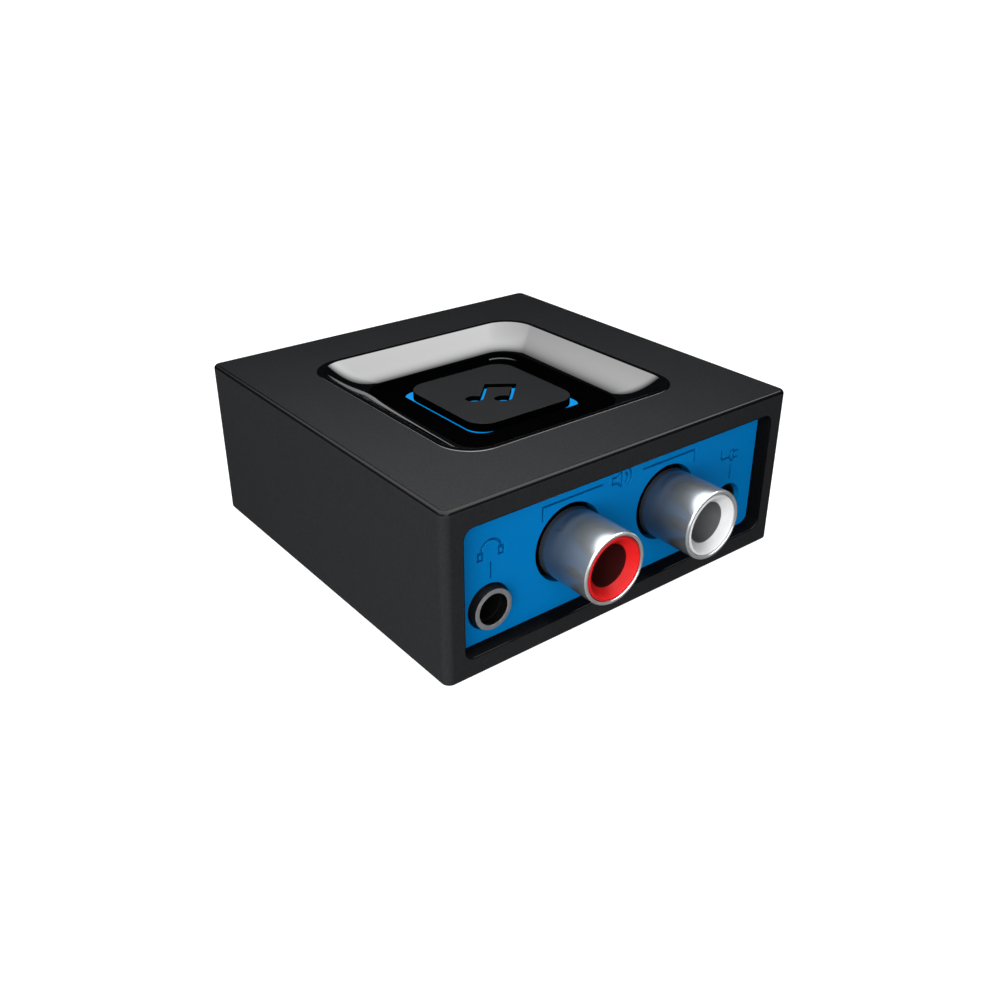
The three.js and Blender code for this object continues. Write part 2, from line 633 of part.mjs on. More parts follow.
// Upright electrolytic capacitors: square foot, can with a rolled groove.
[['left', -1], ['right', 7]].forEach(([name, x]) => {
  const can = upright([
    [0, BOARD_TOP + 0.5], [2.5, BOARD_TOP + 0.5], [2.5, BOARD_TOP + 1.5], [2.3, BOARD_TOP + 1.7],
    [2.5, BOARD_TOP + 1.9], [2.5, BOARD_TOP + 5.2], [2.3, BOARD_TOP + 5.4], [0, BOARD_TOP + 5.4],
  ], SMALL_ROUND, x, 41);
  const foot = chip(5.3, 5.3, 0.9, x, 41, 0.4);
  nickel(`capacitor_${name}`, carve(can, [], [foot]));
});

// Two lamps light the guide from below, one at each side of the switch.
for (const [name, side] of SIDES) {
  const base = chip(2.0, 1.25, 0.6, side * 5.2, MIDDLE, 0.1);
  const lens = upright([
    [0, BOARD_TOP + 0.4], [0.5, BOARD_TOP + 0.4], [0.5, BOARD_TOP + 0.8], [0.3, BOARD_TOP + 1.0],
    [0, BOARD_TOP + 1.05],
  ], TINY_ROUND, side * 5.2, MIDDLE);
  add(`lamp_${name}`, carve(base, [], [lens]), 0xd9ecff, 0.2, 0);
}

// ---------------------------------------------------------------- switch

const SWITCH_FLOOR = BOARD_TOP + 1.0;
const SWITCH_RIM = 7.0;
const SWITCH_CORNER = 0.4;
const SWITCH_WELL = 2.35;
const COVER_THICK = 0.3;
const COVER_LOW = SWITCH_RIM + SIT;
const PLUNGER_RADIUS = 1.7;
const COLLAR_RADIUS = 2.15;
const COLLAR_LOW = 5.75;
const COLLAR_TOP = 6.8;

const switchWell = rod(SWITCH_WELL, SWITCH_FLOOR, SWITCH_RIM + PAST, SMALL_ROUND, 0, MIDDLE);
darkPlastic('switch_base', carve(
  plate(SWITCH_HALF, SWITCH_HALF, MIDDLE, BOARD_TOP + SIT, SWITCH_RIM, SWITCH_CORNER), [switchWell]));

nickel('switch_cover', carve(
  plate(SWITCH_HALF, SWITCH_HALF, MIDDLE, COVER_LOW, COVER_LOW + COVER_THICK, SWITCH_CORNER),
  [rod(PLUNGER_RADIUS + 0.15, COVER_LOW - PAST, COVER_LOW + PAST, SMALL_ROUND, 0, MIDDLE)]));

// Thin snap dome that the plunger pushes flat.
nickel('switch_dome', upright([
  [0, SWITCH_FLOOR + 0.5], [0.9, SWITCH_FLOOR + 0.45], [1.6, SWITCH_FLOOR + 0.3],
  [2.0, SWITCH_FLOOR + SIT], [2.2, SWITCH_FLOOR + SIT], [2.2, SWITCH_FLOOR + 0.17],
  [1.7, SWITCH_FLOOR + 0.42], [0.9, SWITCH_FLOOR + 0.57], [0, SWITCH_FLOOR + 0.62],
], SMALL_ROUND, 0, MIDDLE));

darkPlastic('switch_plunger', upright([
  [0, COLLAR_LOW - 0.13], [0.5, COLLAR_LOW - 0.13], [0.9, COLLAR_LOW], [COLLAR_RADIUS, COLLAR_LOW],
  [COLLAR_RADIUS, COLLAR_TOP], [PLUNGER_RADIUS, COLLAR_TOP], [PLUNGER_RADIUS, PLUNGER_TOP - 0.2],
  [PLUNGER_RADIUS - 0.2, PLUNGER_TOP], [0, PLUNGER_TOP],
], SMALL_ROUND, 0, MIDDLE));

// ---------------------------------------------------------------- dish on top

// Cross-section of the dish, as [half-width, height] from the outer edge over the lip, down the
// hollow slope to the flat floor, over a low ridge to the well, and back underneath.
function dishSection() {
  const lip = [[DISH_HALF, HEIGHT - 0.15], [DISH_HALF - 0.15, HEIGHT], [DISH_HALF - 0.45, HEIGHT]];
  const slopeTop = HEIGHT - 0.1;
  const slopeOuter = DISH_HALF - 0.6;
  const slopeInner = 11.4;
  const floor = 17.8;
  const slope = [];
  const steps = 6;
  for (let i = 0; i <= steps; i++) {
    const t = i / steps;
    slope.push([slopeOuter + (slopeInner - slopeOuter) * t, floor + (slopeTop - floor) * (1 - t) ** 1.8]);
  }
  const ridge = [[10.7, 17.86], [10.3, 17.86], [10.0, 17.72]];
  const well = [[WELL_HALF + 0.15, 17.7], [WELL_HALF, 17.55], [WELL_HALF, 16.5]];
  const under = [
    [12.2, 16.5], [DISH_HALF - 1.1, 17.9], [DISH_HALF - 1.0, LEDGE + SIT], [DISH_HALF, LEDGE + SIT],
  ];
  return [...lip, ...slope, ...ridge, ...well, ...under];
}

function topDish() {
  const cornerRun = (DISH_CORNER - WELL_CORNER) / (DISH_HALF - WELL_HALF);
  const stack = dishSection().map(([half, z]) =>
    [half, half, z, WELL_CORNER + (half - WELL_HALF) * cornerRun]);
  return loft(stack, MIDDLE, true);
}
glossBlack('top_dish', topDish());

// ---------------------------------------------------------------- button and light guide

const ICON_TURN = -Math.PI / 4;
const ICON_HIGH = 1.5;

// Beamed pair of notes: two tilted heads, two stems and a sloping beam.
function noteCutters() {
  const lift = GUIDE_RIM - 0.2;
  const outlines = [[-1.75, -2.45], [1.75, -1.85]].map(([x, y]) => {
    const head = new THREE.Shape();
    head.absellipse(x, y, 1.15, 0.85, 0, 2 * Math.PI, false, 0.35);
    return head;
  });
  const stem = (x, low, high) => new THREE.Shape([
    [x, low], [x + 0.5, low], [x + 0.5, high], [x, high],
  ].map(([u, v]) => new THREE.Vector2(u, v)));
  outlines.push(stem(-1.15, -2.3, 2.3), stem(2.35, -1.7, 2.9));
  outlines.push(new THREE.Shape([
    [-1.15, 1.35], [2.85, 2.05], [2.85, 3.15], [-1.15, 2.45],
  ].map(([u, v]) => new THREE.Vector2(u, v))));
  return outlines.map((outline) => {
    const settings = { depth: ICON_HIGH, bevelEnabled: false, curveSegments: 8 };
    const cutter = new THREE.ExtrudeGeometry(outline, settings);
    return cutter.rotateZ(ICON_TURN).translate(0, MIDDLE, lift);
  });
}

// The cap sits on the guide's rim and its pocket takes the guide's raised core.
function button() {
  const cap = softBlock(
    BUTTON_HALF, BUTTON_HALF, MIDDLE, GUIDE_RIM + GUIDE_GAP, BUTTON_TOP, BUTTON_CORNER, 0.05, BUTTON_FILLET);
  const half = GUIDE_CORE_HALF + 2 * PLAY;
  const pocket = plate(
    half, half, MIDDLE, GUIDE_RIM - PAST, GUIDE_CORE_TOP + GUIDE_GAP, GUIDE_CORE_CORNER + 2 * PLAY);
  return carve(cap, [pocket, ...noteCutters()]);
}
matteBlack('pairing_button', button());

function lightGuide() {
  const padHalf = WELL_HALF - 2 * PLAY;
  const flangeHalf = WELL_HALF + 1.1;
  const inside = (FLANGE_LOW + FLANGE_TOP) / 2;
  const pad = plate(padHalf, padHalf, MIDDLE, inside, GUIDE_RIM, WELL_CORNER);
  const core = plate(GUIDE_CORE_HALF, GUIDE_CORE_HALF, MIDDLE, inside, GUIDE_CORE_TOP, GUIDE_CORE_CORNER);
  const flange = plate(flangeHalf, flangeHalf, MIDDLE, FLANGE_LOW, FLANGE_TOP, WELL_CORNER + 0.8);
  const stem = rod(GUIDE_STEM, PLUNGER_TOP + PLAY, inside, SMALL_ROUND, 0, MIDDLE);
  return carve(pad, [], [core, flange, stem]);
}
add('light_guide', lightGuide(), 0x0091e0, 0.35, 0);

export default receiver;
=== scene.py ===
"""Looks for the desktop wireless audio receiver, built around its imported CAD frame.

Shapes are modelled in millimetres in the housing frame: X across, Y from the front face to the back,
Z up from the housing's underside. place() turns a finished mesh into metres in the row frame.
"""
import math

import bmesh
import bpy
from mathutils import Matrix, Vector

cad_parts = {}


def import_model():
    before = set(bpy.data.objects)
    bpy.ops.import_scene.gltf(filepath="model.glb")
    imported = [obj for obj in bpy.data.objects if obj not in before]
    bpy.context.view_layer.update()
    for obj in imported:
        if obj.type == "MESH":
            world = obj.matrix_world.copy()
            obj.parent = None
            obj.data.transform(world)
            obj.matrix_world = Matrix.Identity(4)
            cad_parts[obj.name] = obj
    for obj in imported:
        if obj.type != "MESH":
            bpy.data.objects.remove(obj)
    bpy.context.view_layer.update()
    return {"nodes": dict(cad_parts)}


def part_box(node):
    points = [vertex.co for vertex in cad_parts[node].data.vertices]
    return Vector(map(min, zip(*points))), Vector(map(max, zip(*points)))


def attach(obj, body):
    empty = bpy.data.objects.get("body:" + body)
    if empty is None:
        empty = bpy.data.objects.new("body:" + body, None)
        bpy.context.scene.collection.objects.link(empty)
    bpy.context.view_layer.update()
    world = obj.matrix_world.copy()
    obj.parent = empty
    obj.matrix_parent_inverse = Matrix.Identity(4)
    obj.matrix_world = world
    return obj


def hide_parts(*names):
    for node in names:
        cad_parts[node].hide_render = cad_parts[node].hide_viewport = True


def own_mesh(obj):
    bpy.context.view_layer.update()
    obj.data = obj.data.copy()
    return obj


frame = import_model()

MM = 0.001
scene = bpy.context.scene

# ---------------------------------------------------------------- sizes taken from the frame

shell_low, shell_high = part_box("housing_shell")
ORIGIN = Vector(((shell_low.x + shell_high.x) / 2, shell_low.y, shell_low.z))


def span(node):
    """Lowest and highest corner of a CAD node in the housing frame, in millimetres."""
    low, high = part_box(node)
    return (low - ORIGIN) / MM, (high - ORIGIN) / MM


def centre(node):
    low, high = span(node)
    return (low + high) / 2


WIDTH, DEPTH, HEIGHT = (shell_high - shell_low) / MM
MIDDLE = DEPTH / 2
PANEL_LOW, PANEL_HIGH = span("connector_panel")
PANEL_FACE = PANEL_LOW.y
DISH_LOW, DISH_HIGH = span("top_dish")
DISH_HALF = DISH_HIGH.x
BUTTON_LOW, BUTTON_HIGH = span("pairing_button")
BUTTON_HALF = BUTTON_HIGH.x
GUIDE_LOW, GUIDE_HIGH = span("light_guide")
BASE_LOW, BASE_HIGH = span("base_cover")
AUX_LOW, AUX_HIGH = span("aux_body")
POWER_LOW, POWER_HIGH = span("power_body")
BARREL_FRONT = span("phono_shell_red")[0].y
PHONO_COLOURS = ("red", "white")
CORNERS = ("front_left", "front_right", "rear_left", "rear_right")

# The housing's own dimensions
WALL = 2.0
SIDE_CORNER = 1.0
TOP_FILLET = 0.5
BOTTOM_FILLET = 0.2
OPENING_HALF = 22.9
OPENING_LOW = 2.35
OPENING_HIGH = 17.75
OPENING_CORNER = 1.2
EDGE = 0.15  # rounding of the front opening's mouth
LEDGE = 18.9  # height of the ledge that carries the dish
RECESS_PLAY = 0.05
RECESS_EDGE = 0.03

# Sockets
PHONO_HOLE = 4.73
ROOT_SHOW = 0.1  # how far behind the panel's face the barrels still show their plating; further back they are painted black as painted shade
SHELL_BORE = 3.8
INSERT_BORE = 2.5
INSERT_LIP = 3.45
CONE_DEPTH = 1.0
SMALL_JACK_Z = 6.4
AUX_X = centre("aux_body").x
AUX_HOLE = 2.73
AUX_NOSE = 2.47
AUX_BORE = 1.85
POWER_X = centre("power_body").x
POWER_HOLE = 2.65
POWER_NOSE = 2.45
POWER_BORE = 2.2

# Dish, button and well
DISH_CORNER = 4.5
WELL_HALF = 8.55
WELL_CORNER = 2.2
BUTTON_CORNER = 2.7
CORE_HALF = 5.0
CORE_CORNER = 1.2
LIP_WIDTH = 0.66
LIP_EDGE = 0.06
SLOPE_INNER = 11.05
SLOPE_STEPS = 56
SLOPE_POWER = 2.2
DISH_FLOOR = 17.8
RIDGE_OUTER = 10.6
RIDGE_WIDTH = 0.55
RIDGE_DROP = 0.08
RIDGE_STEPS = 12
RIDGE_START = 0.5  # the ridge keeps its gloss from here on, right of and behind the dish's middle; elsewhere it is painted black as painted shade
SLOPE_FOOT = 0.05  # height above the floor up to which the slope is painted black without shine, as painted shade
GUIDE_DROP = 0.115  # gap between the button's CAD underside and the guide's pad
CAP_DROP = 0.055  # how far the cap reaches below its CAD underside
ICON_TURN = -45.0

# How finely round shapes are made
BEAD_FINE = 128
FINE = 96
MEDIUM = 64
COARSE = 48
ROUND_STEPS = 12
EDGE_STEPS = 3

PAST = 1.0  # how far a cutter runs past the face that it opens
MERGE = 1e-5  # points closer than this are one
ON_AXIS = 1e-7  # stands for a radius of nothing until the points are merged
SMOOTH_BELOW = 35.0  # degrees between faces that still shade as one surface

# ---------------------------------------------------------------- mesh helpers


def make(name, vertices, faces):
    """Mesh object in the housing frame, in millimetres, with its faces pointing out."""
    mesh = bpy.data.meshes.new(name)
    mesh.from_pydata([tuple(v) for v in vertices], [], faces)
    solid = bmesh.new()
    solid.from_mesh(mesh)
    bmesh.ops.remove_doubles(solid, verts=solid.verts, dist=MERGE)
    bmesh.ops.recalc_face_normals(solid, faces=solid.faces)
    solid.to_mesh(mesh)
    solid.free()
    obj = bpy.data.objects.new(name, mesh)
    scene.collection.objects.link(obj)
    return obj


def bake(obj):
    """Applies the piece's modifiers."""
    bpy.context.view_layer.update()
    graph = bpy.context.evaluated_depsgraph_get()
    mesh = bpy.data.meshes.new_from_object(obj.evaluated_get(graph))
    obj.modifiers.clear()
    obj.data = mesh
    return obj


def combine(obj, others, operation):
    """Boolean of a piece with others, one after the other."""
    for other in others:
        boolean = obj.modifiers.new("boolean", "BOOLEAN")
        boolean.operation = operation
        boolean.solver = "EXACT"
        boolean.object = other
        bake(obj)
        bpy.data.objects.remove(other)
    return obj


def cut(obj, *cutters):
    return combine(obj, cutters, "DIFFERENCE")


def join(obj, *others):
    return combine(obj, others, "UNION")


def outline(half_x, half_y, corner, steps=ROUND_STEPS):
    """Points of a rounded rectangle, anticlockwise."""
    points = []
    for quarter, (side_x, side_y) in enumerate(((1, 1), (-1, 1), (-1, -1), (1, -1))):
        for i in range(steps + 1):
            angle = (quarter + i / steps) * math.pi / 2
            points.append((
                side_x * (half_x - corner) + corner * math.cos(angle),
                side_y * (half_y - corner) + corner * math.sin(angle),
            ))
    return points


def skin(rings, ring_closed=False):
    """Vertices and faces over a list of rings with equal point counts."""
    count = len(rings[0])
    vertices = [p for ring in rings for p in ring]
    bands = len(rings) if ring_closed else len(rings) - 1
    faces = []
    for k in range(bands):
        low, high = k * count, (k + 1) % len(rings) * count
        for i in range(count):
            j = (i + 1) % count
            faces.append((low + i, low + j, high + j, high + i))
    if not ring_closed:
        last = (len(rings) - 1) * count
        faces.append(tuple(range(count))[::-1])
        faces.append(tuple(range(last, last + count)))
    return vertices, faces


def loft(name, stack, middle=(0.0, 0.0), hollow=False):
    """Solid over rounded rectangles (half_x, half_y, z, corner) stacked along Z."""
    rings = [
        [(x + middle[0], y + middle[1], z) for x, y in outline(half_x, half_y, corner)]
        for half_x, half_y, z, corner in stack
    ]
    return make(name, *skin(rings, hollow))


def fillet(radius, steps=6):
    """(inset, rise) pairs round a quarter circle, from the wall to the flat."""
    angles = [i / steps * math.pi / 2 for i in range(steps + 1)]
    return [(radius * (1 - math.cos(a)), radius * math.sin(a)) for a in angles]


def soft_block(name, half_x, half_y, middle, low, high, corner, fillet_low, fillet_high):
    """Rounded block with a fillet round its foot and one round its top."""
    stack = []
    for inset, rise in reversed(fillet(fillet_low)):
        stack.append((half_x - inset, half_y - inset, low + fillet_low - rise, corner - inset))
    for inset, rise in fillet(fillet_high):
        stack.append((half_x - inset, half_y - inset, high - fillet_high + rise, corner - inset))
    return loft(name, stack, middle)


def plate(name, half_x, half_y, middle, low, high, corner):
    """Rounded rectangle of even thickness."""
    return loft(name, [(half_x, half_y, low, corner), (half_x, half_y, high, corner)], middle)


def block(name, low, high):
    """Plain box between two corners."""
    half_x, half_y = (high[0] - low[0]) / 2, (high[1] - low[1]) / 2
    middle = ((low[0] + high[0]) / 2, (low[1] + high[1]) / 2)
    corners = [(sx * half_x + middle[0], sy * half_y + middle[1])
               for sx, sy in ((1, 1), (-1, 1), (-1, -1), (1, -1))]
    rings = [[(x, y, z) for x, y in corners] for z in (low[2], high[2])]
    return make(name, *skin(rings))


def tunnel(name, half_x, half_z, middle, front, back, corner, flare):
    """Cutter along Y with a rounded mouth at its front: half sizes, (x, z) of its middle."""
    stack = [(flare, front - PAST)]
    for inset, rise in reversed(fillet(flare)):
        stack.append((inset, front + flare - rise))
    stack.append((0.0, back))
    rings = [
        [(x + middle[0], y, z + middle[1])
         for x, z in outline(half_x + grow, half_z + grow, corner + grow)]
        for grow, y in stack
    ]
    return make(name, *skin(rings))


def lathe(name, profile, axis, middle, segments=FINE):
    """Closed solid of revolution. The profile is (radius, height) along the axis, "Y" or "Z"."""
    rings = []
    for radius, height in profile:
        ring = []
        for i in range(segments):
            angle = 2 * math.pi * i / segments
            reach = max(radius, ON_AXIS)
            u, v = reach * math.cos(angle), reach * math.sin(angle)
            if axis == "Y":
                ring.append((middle[0] + u, height, middle[1] + v))
            else:
                ring.append((middle[0] + u, middle[1] + v, height))
        rings.append(ring)
    hollow = profile[0][0] > 0
    vertices, faces = skin(rings, hollow)
    if not hollow:
        faces = faces[:-2]
    obj = make(name, vertices, faces)
    bm = bmesh.new()
    bm.from_mesh(obj.data)
    bmesh.ops.dissolve_degenerate(bm, dist=MERGE / 10, edges=bm.edges)
    bmesh.ops.recalc_face_normals(bm, faces=bm.faces)
    bm.to_mesh(obj.data)
    bm.free()
    return obj


def rod(name, radius, axis, low, high, middle, flare=0.0, segments=FINE):
    """Solid rod, with a rounded mouth at its low end when it is used to cut a hole."""
    profile = [(0, low - PAST), (radius + flare, low - PAST)] if flare else [(0, low)]
    if flare:
        profile += [(radius + inset, low + flare - rise) for inset, rise in reversed(fillet(flare))]
    else:
        profile.append((radius, low))
    profile += [(radius, high), (0, high)]
    return lathe(name, profile, axis, middle, segments)


def place(obj, name, material, body, slot, *nodes):
    """Finishes a piece: metres in the row frame, smooth shading, material, body and CAD nodes."""
    obj.name = name
    obj.data.name = name
    obj.data.transform(Matrix.Translation(ORIGIN) @ Matrix.Scale(MM, 4))
    obj.data.polygons.foreach_set("use_smooth", [True] * len(obj.data.polygons))
    obj.data.set_sharp_from_angle(angle=math.radians(SMOOTH_BELOW))
    weighted = obj.modifiers.new("weighted_normals", "WEIGHTED_NORMAL")
    weighted.keep_sharp = True
    weighted.weight = 100
    obj.data.materials.clear()
    obj.data.materials.append(material)
    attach(obj, body)
    if nodes:
        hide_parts(*nodes)
    return obj


def paint(obj, material, wanted):
    """Gives a placed piece's faces a second material where wanted(spot, normal) is true: a real finish,
    painted shade and painted highlights.
    """
    obj.data.materials.append(material)
    index = len(obj.data.materials) - 1
    for face in obj.data.polygons:
        if wanted((face.center - ORIGIN) / MM, face.normal):
            face.material_index = index


# ---------------------------------------------------------------- materials

CLOUDS = 0.25  # slow changes of shine, per millimetre
SHINE_SPREAD = 0.07
MARK_SPREAD = 0.06
MARK_DEPTH = 0.0004
ALONG_BARREL = (1, 12, 1)
PLATING = 0.75  # how metallic the plating is


def scaled(colour, factor):
    """A colour made darker or lighter."""
    return tuple(c * factor for c in colour)


class Graph:
    """Small helper to wire a material's nodes."""

    def __init__(self, name):
        self.material = bpy.data.materials.new(name)
        self.material.use_nodes = True
        self.nodes = self.material.node_tree.nodes
        self.links = self.material.node_tree.links
        self.shader = self.nodes["Principled BSDF"]
        self.coords = self.nodes.new("ShaderNodeTexCoord").outputs["Object"]

    def set(self, **values):
        for key, value in values.items():
            self.shader.inputs[key.replace("_", " ")].default_value = value
        return self

    def stretched(self, x, y, z):
        mapping = self.nodes.new("ShaderNodeMapping")
        mapping.inputs["Scale"].default_value = (x, y, z)
        self.links.new(self.coords, mapping.inputs["Vector"])
        return mapping.outputs["Vector"]

    def noise(self, per_mm, detail=2.0, roughness=0.5, vector=None):
        texture = self.nodes.new("ShaderNodeTexNoise")
        texture.inputs["Scale"].default_value = per_mm / MM
        texture.inputs["Detail"].default_value = detail
        texture.inputs["Roughness"].default_value = roughness
        self.links.new(vector or self.coords, texture.inputs["Vector"])
        return texture.outputs["Fac"]

    def ramp(self, source, low, high, start=0.3, end=0.7):
        """Maps a noise to the range low to high: numbers or colours."""
        ramp = self.nodes.new("ShaderNodeValToRGB")
        ramp.color_ramp.elements[0].position = start
        ramp.color_ramp.elements[1].position = end
        for element, value in zip(ramp.color_ramp.elements, (low, high)):
            colour = value if hasattr(value, "__len__") else (value, value, value)
            element.color = (*colour, 1.0)
        self.links.new(source, ramp.inputs["Fac"])
        return ramp.outputs["Color"]

    def drive(self, socket, output):
        self.links.new(output, self.shader.inputs[socket])
        return self

    def bump(self, *layers):
        """Layers of (height output, depth in millimetres)."""
        normal = None
        for height, depth in layers:
            bump = self.nodes.new("ShaderNodeBump")
            bump.inputs["Distance"].default_value = depth * MM
            self.links.new(height, bump.inputs["Height"])
            if normal is not None:
                self.links.new(normal, bump.inputs["Normal"])
            normal = bump.outputs["Normal"]
        self.links.new(normal, self.shader.inputs["Normal"])
        return self


def moulded(name, colour, roughness, grain=5.0, depth=0.012, variety=0.12, specular=0.5):
    """Moulded plastic, slightly cloudy. The grain is per millimetre, its depth in millimetres."""
    graph = Graph(name)
    dark, light = scaled(colour, 1 - variety), scaled(colour, 1 + variety)
    dull, bright = roughness * (1 + SHINE_SPREAD), roughness * (1 - SHINE_SPREAD)
    graph.drive("Base Color", graph.ramp(graph.noise(grain, 3.0, 0.6), dark, light))
    graph.drive("Roughness", graph.ramp(graph.noise(CLOUDS, 3.0), bright, dull))
    graph.bump((graph.noise(grain, 2.0, 0.55), depth))
    graph.shader.inputs["Specular IOR Level"].default_value = specular
    return graph.material


def piano_black(name):
    """Polished black plastic with a trace of haze."""
    graph = Graph(name)
    graph.set(Base_Color=(0.0015, 0.0016, 0.0018, 1.0), IOR=1.8)
    graph.drive("Roughness", graph.ramp(graph.noise(0.8, 4.0), 0.035, 0.055))
    return graph.material


def turning_marks(graph, roughness, stretch):
    """Faint marks in shine and in height, closer together along a stretched axis."""
    marks = graph.noise(6.0, 3.0, 0.6, graph.stretched(*stretch))
    dull, bright = roughness * (1 + MARK_SPREAD), roughness * (1 - MARK_SPREAD)
    graph.drive("Roughness", graph.ramp(marks, bright, dull))
    graph.bump((marks, MARK_DEPTH))


def plated(name, colour, roughness, stretch=(1, 1, 1), metallic=PLATING):
    """Plated metal, a little cloudy, with faint marks."""
    graph = Graph(name)
    graph.set(Metallic=metallic)
    graph.drive("Base Color", graph.ramp(graph.noise(0.5, 3.0), scaled(colour, 0.93), colour))
    turning_marks(graph, roughness, stretch)
    return graph.material


def painted_highlight_barrel_metal(name, rim_highlight_colour, root_colour, roughness):
    """Plated metal, painted lighter at the phono barrels' rims as a painted highlight that fades out
    towards the panel.
    """
    graph = Graph(name)
    graph.set(Metallic=PLATING)
    parts = graph.nodes.new("ShaderNodeSeparateXYZ")
    graph.links.new(graph.coords, parts.inputs["Vector"])
    along = graph.nodes.new("ShaderNodeMapRange")
    along.inputs["From Min"].default_value = ORIGIN.y + BARREL_FRONT * MM
    along.inputs["From Max"].default_value = ORIGIN.y + PANEL_FACE * MM
    graph.links.new(parts.outputs["Y"], along.inputs["Value"])
    graph.drive("Base Color", graph.ramp(along.outputs["Result"], rim_highlight_colour, root_colour, 0.05, 0.60))
    turning_marks(graph, roughness, ALONG_BARREL)
    return graph.material


def translucent_blue(name, colour):
    """Dyed guide plastic: a soft glow under a smooth skin."""
    graph = Graph(name)
    graph.set(Roughness=0.35, Specular_IOR_Level=0.1, Emission_Strength=0.9)
    cloud = graph.noise(0.4, 2.0)
    graph.drive("Base Color", graph.ramp(cloud, scaled(colour, 0.10), scaled(colour, 0.14)))
    graph.drive("Emission Color", graph.ramp(cloud, scaled(colour, 0.96), colour))
    graph.bump((graph.noise(2.0, 2.0), 0.003))
    return graph.material


def rubber(name):
    """Matt rubber with a worn bloom."""
    graph = Graph(name)
    graph.set(Sheen_Weight=0.15)
    graph.drive("Base Color", graph.ramp(graph.noise(1.5, 4.0), (0.010,) * 3, (0.018,) * 3))
    graph.drive("Roughness", graph.ramp(graph.noise(3.0, 3.0), 0.78, 0.92))
    graph.bump((graph.noise(4.0, 3.0), 0.02))
    return graph.material


def board(name, mask, trace):
    """Solder mask in rectangles, lighter where copper runs between them."""
    graph = Graph(name)
    graph.set(Roughness=0.35)
    cells = graph.nodes.new("ShaderNodeTexBrick")
    cells.inputs["Scale"].default_value = 0.5 / MM
    cells.inputs["Color1"].default_value = (*mask, 1.0)
    cells.inputs["Color2"].default_value = (*scaled(mask, 0.9), 1.0)
    cells.inputs["Mortar"].default_value = (*trace, 1.0)
    cells.inputs["Mortar Size"].default_value = 0.04
    graph.links.new(graph.coords, cells.inputs["Vector"])
    graph.drive("Base Color", cells.outputs["Color"])
    graph.bump((graph.noise(2.0, 3.0), 0.004))
    return graph.material


HOUSING_BLACK = moulded("housing_black", (0.0175, 0.0180, 0.0190), 0.34, 3.2, 0.003, specular=0.008)
# Painted shade: a darker, glossier copy of the housing's black for the top fillets and the opening's
# mouth, giving a dark line and a thin glint along these edges
EDGE_PAINTED_SHADE = moulded("edge_painted_shade", (0.0035, 0.0036, 0.0038), 0.14, 3.2, 0.0005, specular=0.12)
# Painted shade: a darker copy of the black plastic for the walls inside the front opening and down the
# aux socket's bore
OPENING_PAINTED_SHADE = moulded("opening_painted_shade", (0.0036, 0.0037, 0.0039), 0.45, 3.2, 0.004, specular=0.01)
BUTTON_BLACK = moulded("button_black", (0.0135, 0.0140, 0.0146), 0.36, 3.6, 0.003, specular=0.015)
# Painted shade: black without any shine, for the barrels behind the panel, the dish's floor, well and
# slope foot, and the button's sides
PAINTED_SHADE_BLACK = moulded("painted_shade_black", (0.0006, 0.0006, 0.0007), 0.40, 2.0, 0.001, specular=0.0)
SOCKET_BLACK = moulded("socket_black", (0.006, 0.006, 0.006), 0.38, 2.0, 0.003, specular=0.15)
PANEL_BLUE = moulded("panel_blue", (0.0, 0.167, 0.463), 0.45, 4.0, 0.003, variety=0.04, specular=0.04)
INSERT_RED = moulded(
    "insert_red", (0.57, 0.0115, 0.0125), 0.34, 1.5, 0.002, variety=0.05, specular=0.08)
INSERT_WHITE = moulded(
    "insert_white", (0.595, 0.60, 0.61), 0.36, 1.5, 0.002, variety=0.03, specular=0.12)
PIANO_BLACK = piano_black("piano_black")
# Painted shade: dark copies of the inserts' red and white for the inside of their bores
RED_BORE_SHADE = moulded(
    "insert_red_bore_shade", (0.045, 0.006, 0.006), 0.40, 1.5, 0.002, variety=0.05, specular=0.1)
WHITE_BORE_SHADE = moulded(
    "insert_white_bore_shade", (0.13, 0.133, 0.137), 0.40, 1.5, 0.002, variety=0.03, specular=0.1)
SOCKET_RING = moulded("socket_ring", (0.170, 0.174, 0.180), 0.40, 2.0, 0.003, specular=0.1)
NICKEL = plated("nickel", (0.123, 0.141, 0.157), 0.21, ALONG_BARREL)
# Painted highlight: the barrels' plating is lighter at the rims and fades to the plain colour towards the
# panel
BARREL_NICKEL_PAINTED_HIGHLIGHT = painted_highlight_barrel_metal("barrel_nickel_painted_highlight", (0.30, 0.325, 0.35), (0.116, 0.135, 0.152), 0.21)
# Painted highlight: a much lighter copy of the plating for the barrels' rolled rims
RIM_PAINTED_HIGHLIGHT = plated("rim_painted_highlight", (0.76, 0.77, 0.78), 0.20, metallic=0.7)
SCREW_STEEL = plated("screw_steel", (0.16, 0.16, 0.17), 0.32)
CONTACT_GOLD = plated("contact_gold", (0.72, 0.54, 0.24), 0.28)
GUIDE_BLUE = translucent_blue("guide_blue", (0.0, 0.285, 0.76))
FOOT_RUBBER = rubber("foot_rubber")
BOARD_GREEN = board("board_green", (0.015, 0.10, 0.04), (0.03, 0.17, 0.07))
BOARD_BLUE = board("board_blue", (0.01, 0.04, 0.14), (0.02, 0.08, 0.22))
LAMP_CLEAR = translucent_blue("lamp_clear", (0.62, 0.78, 1.0))

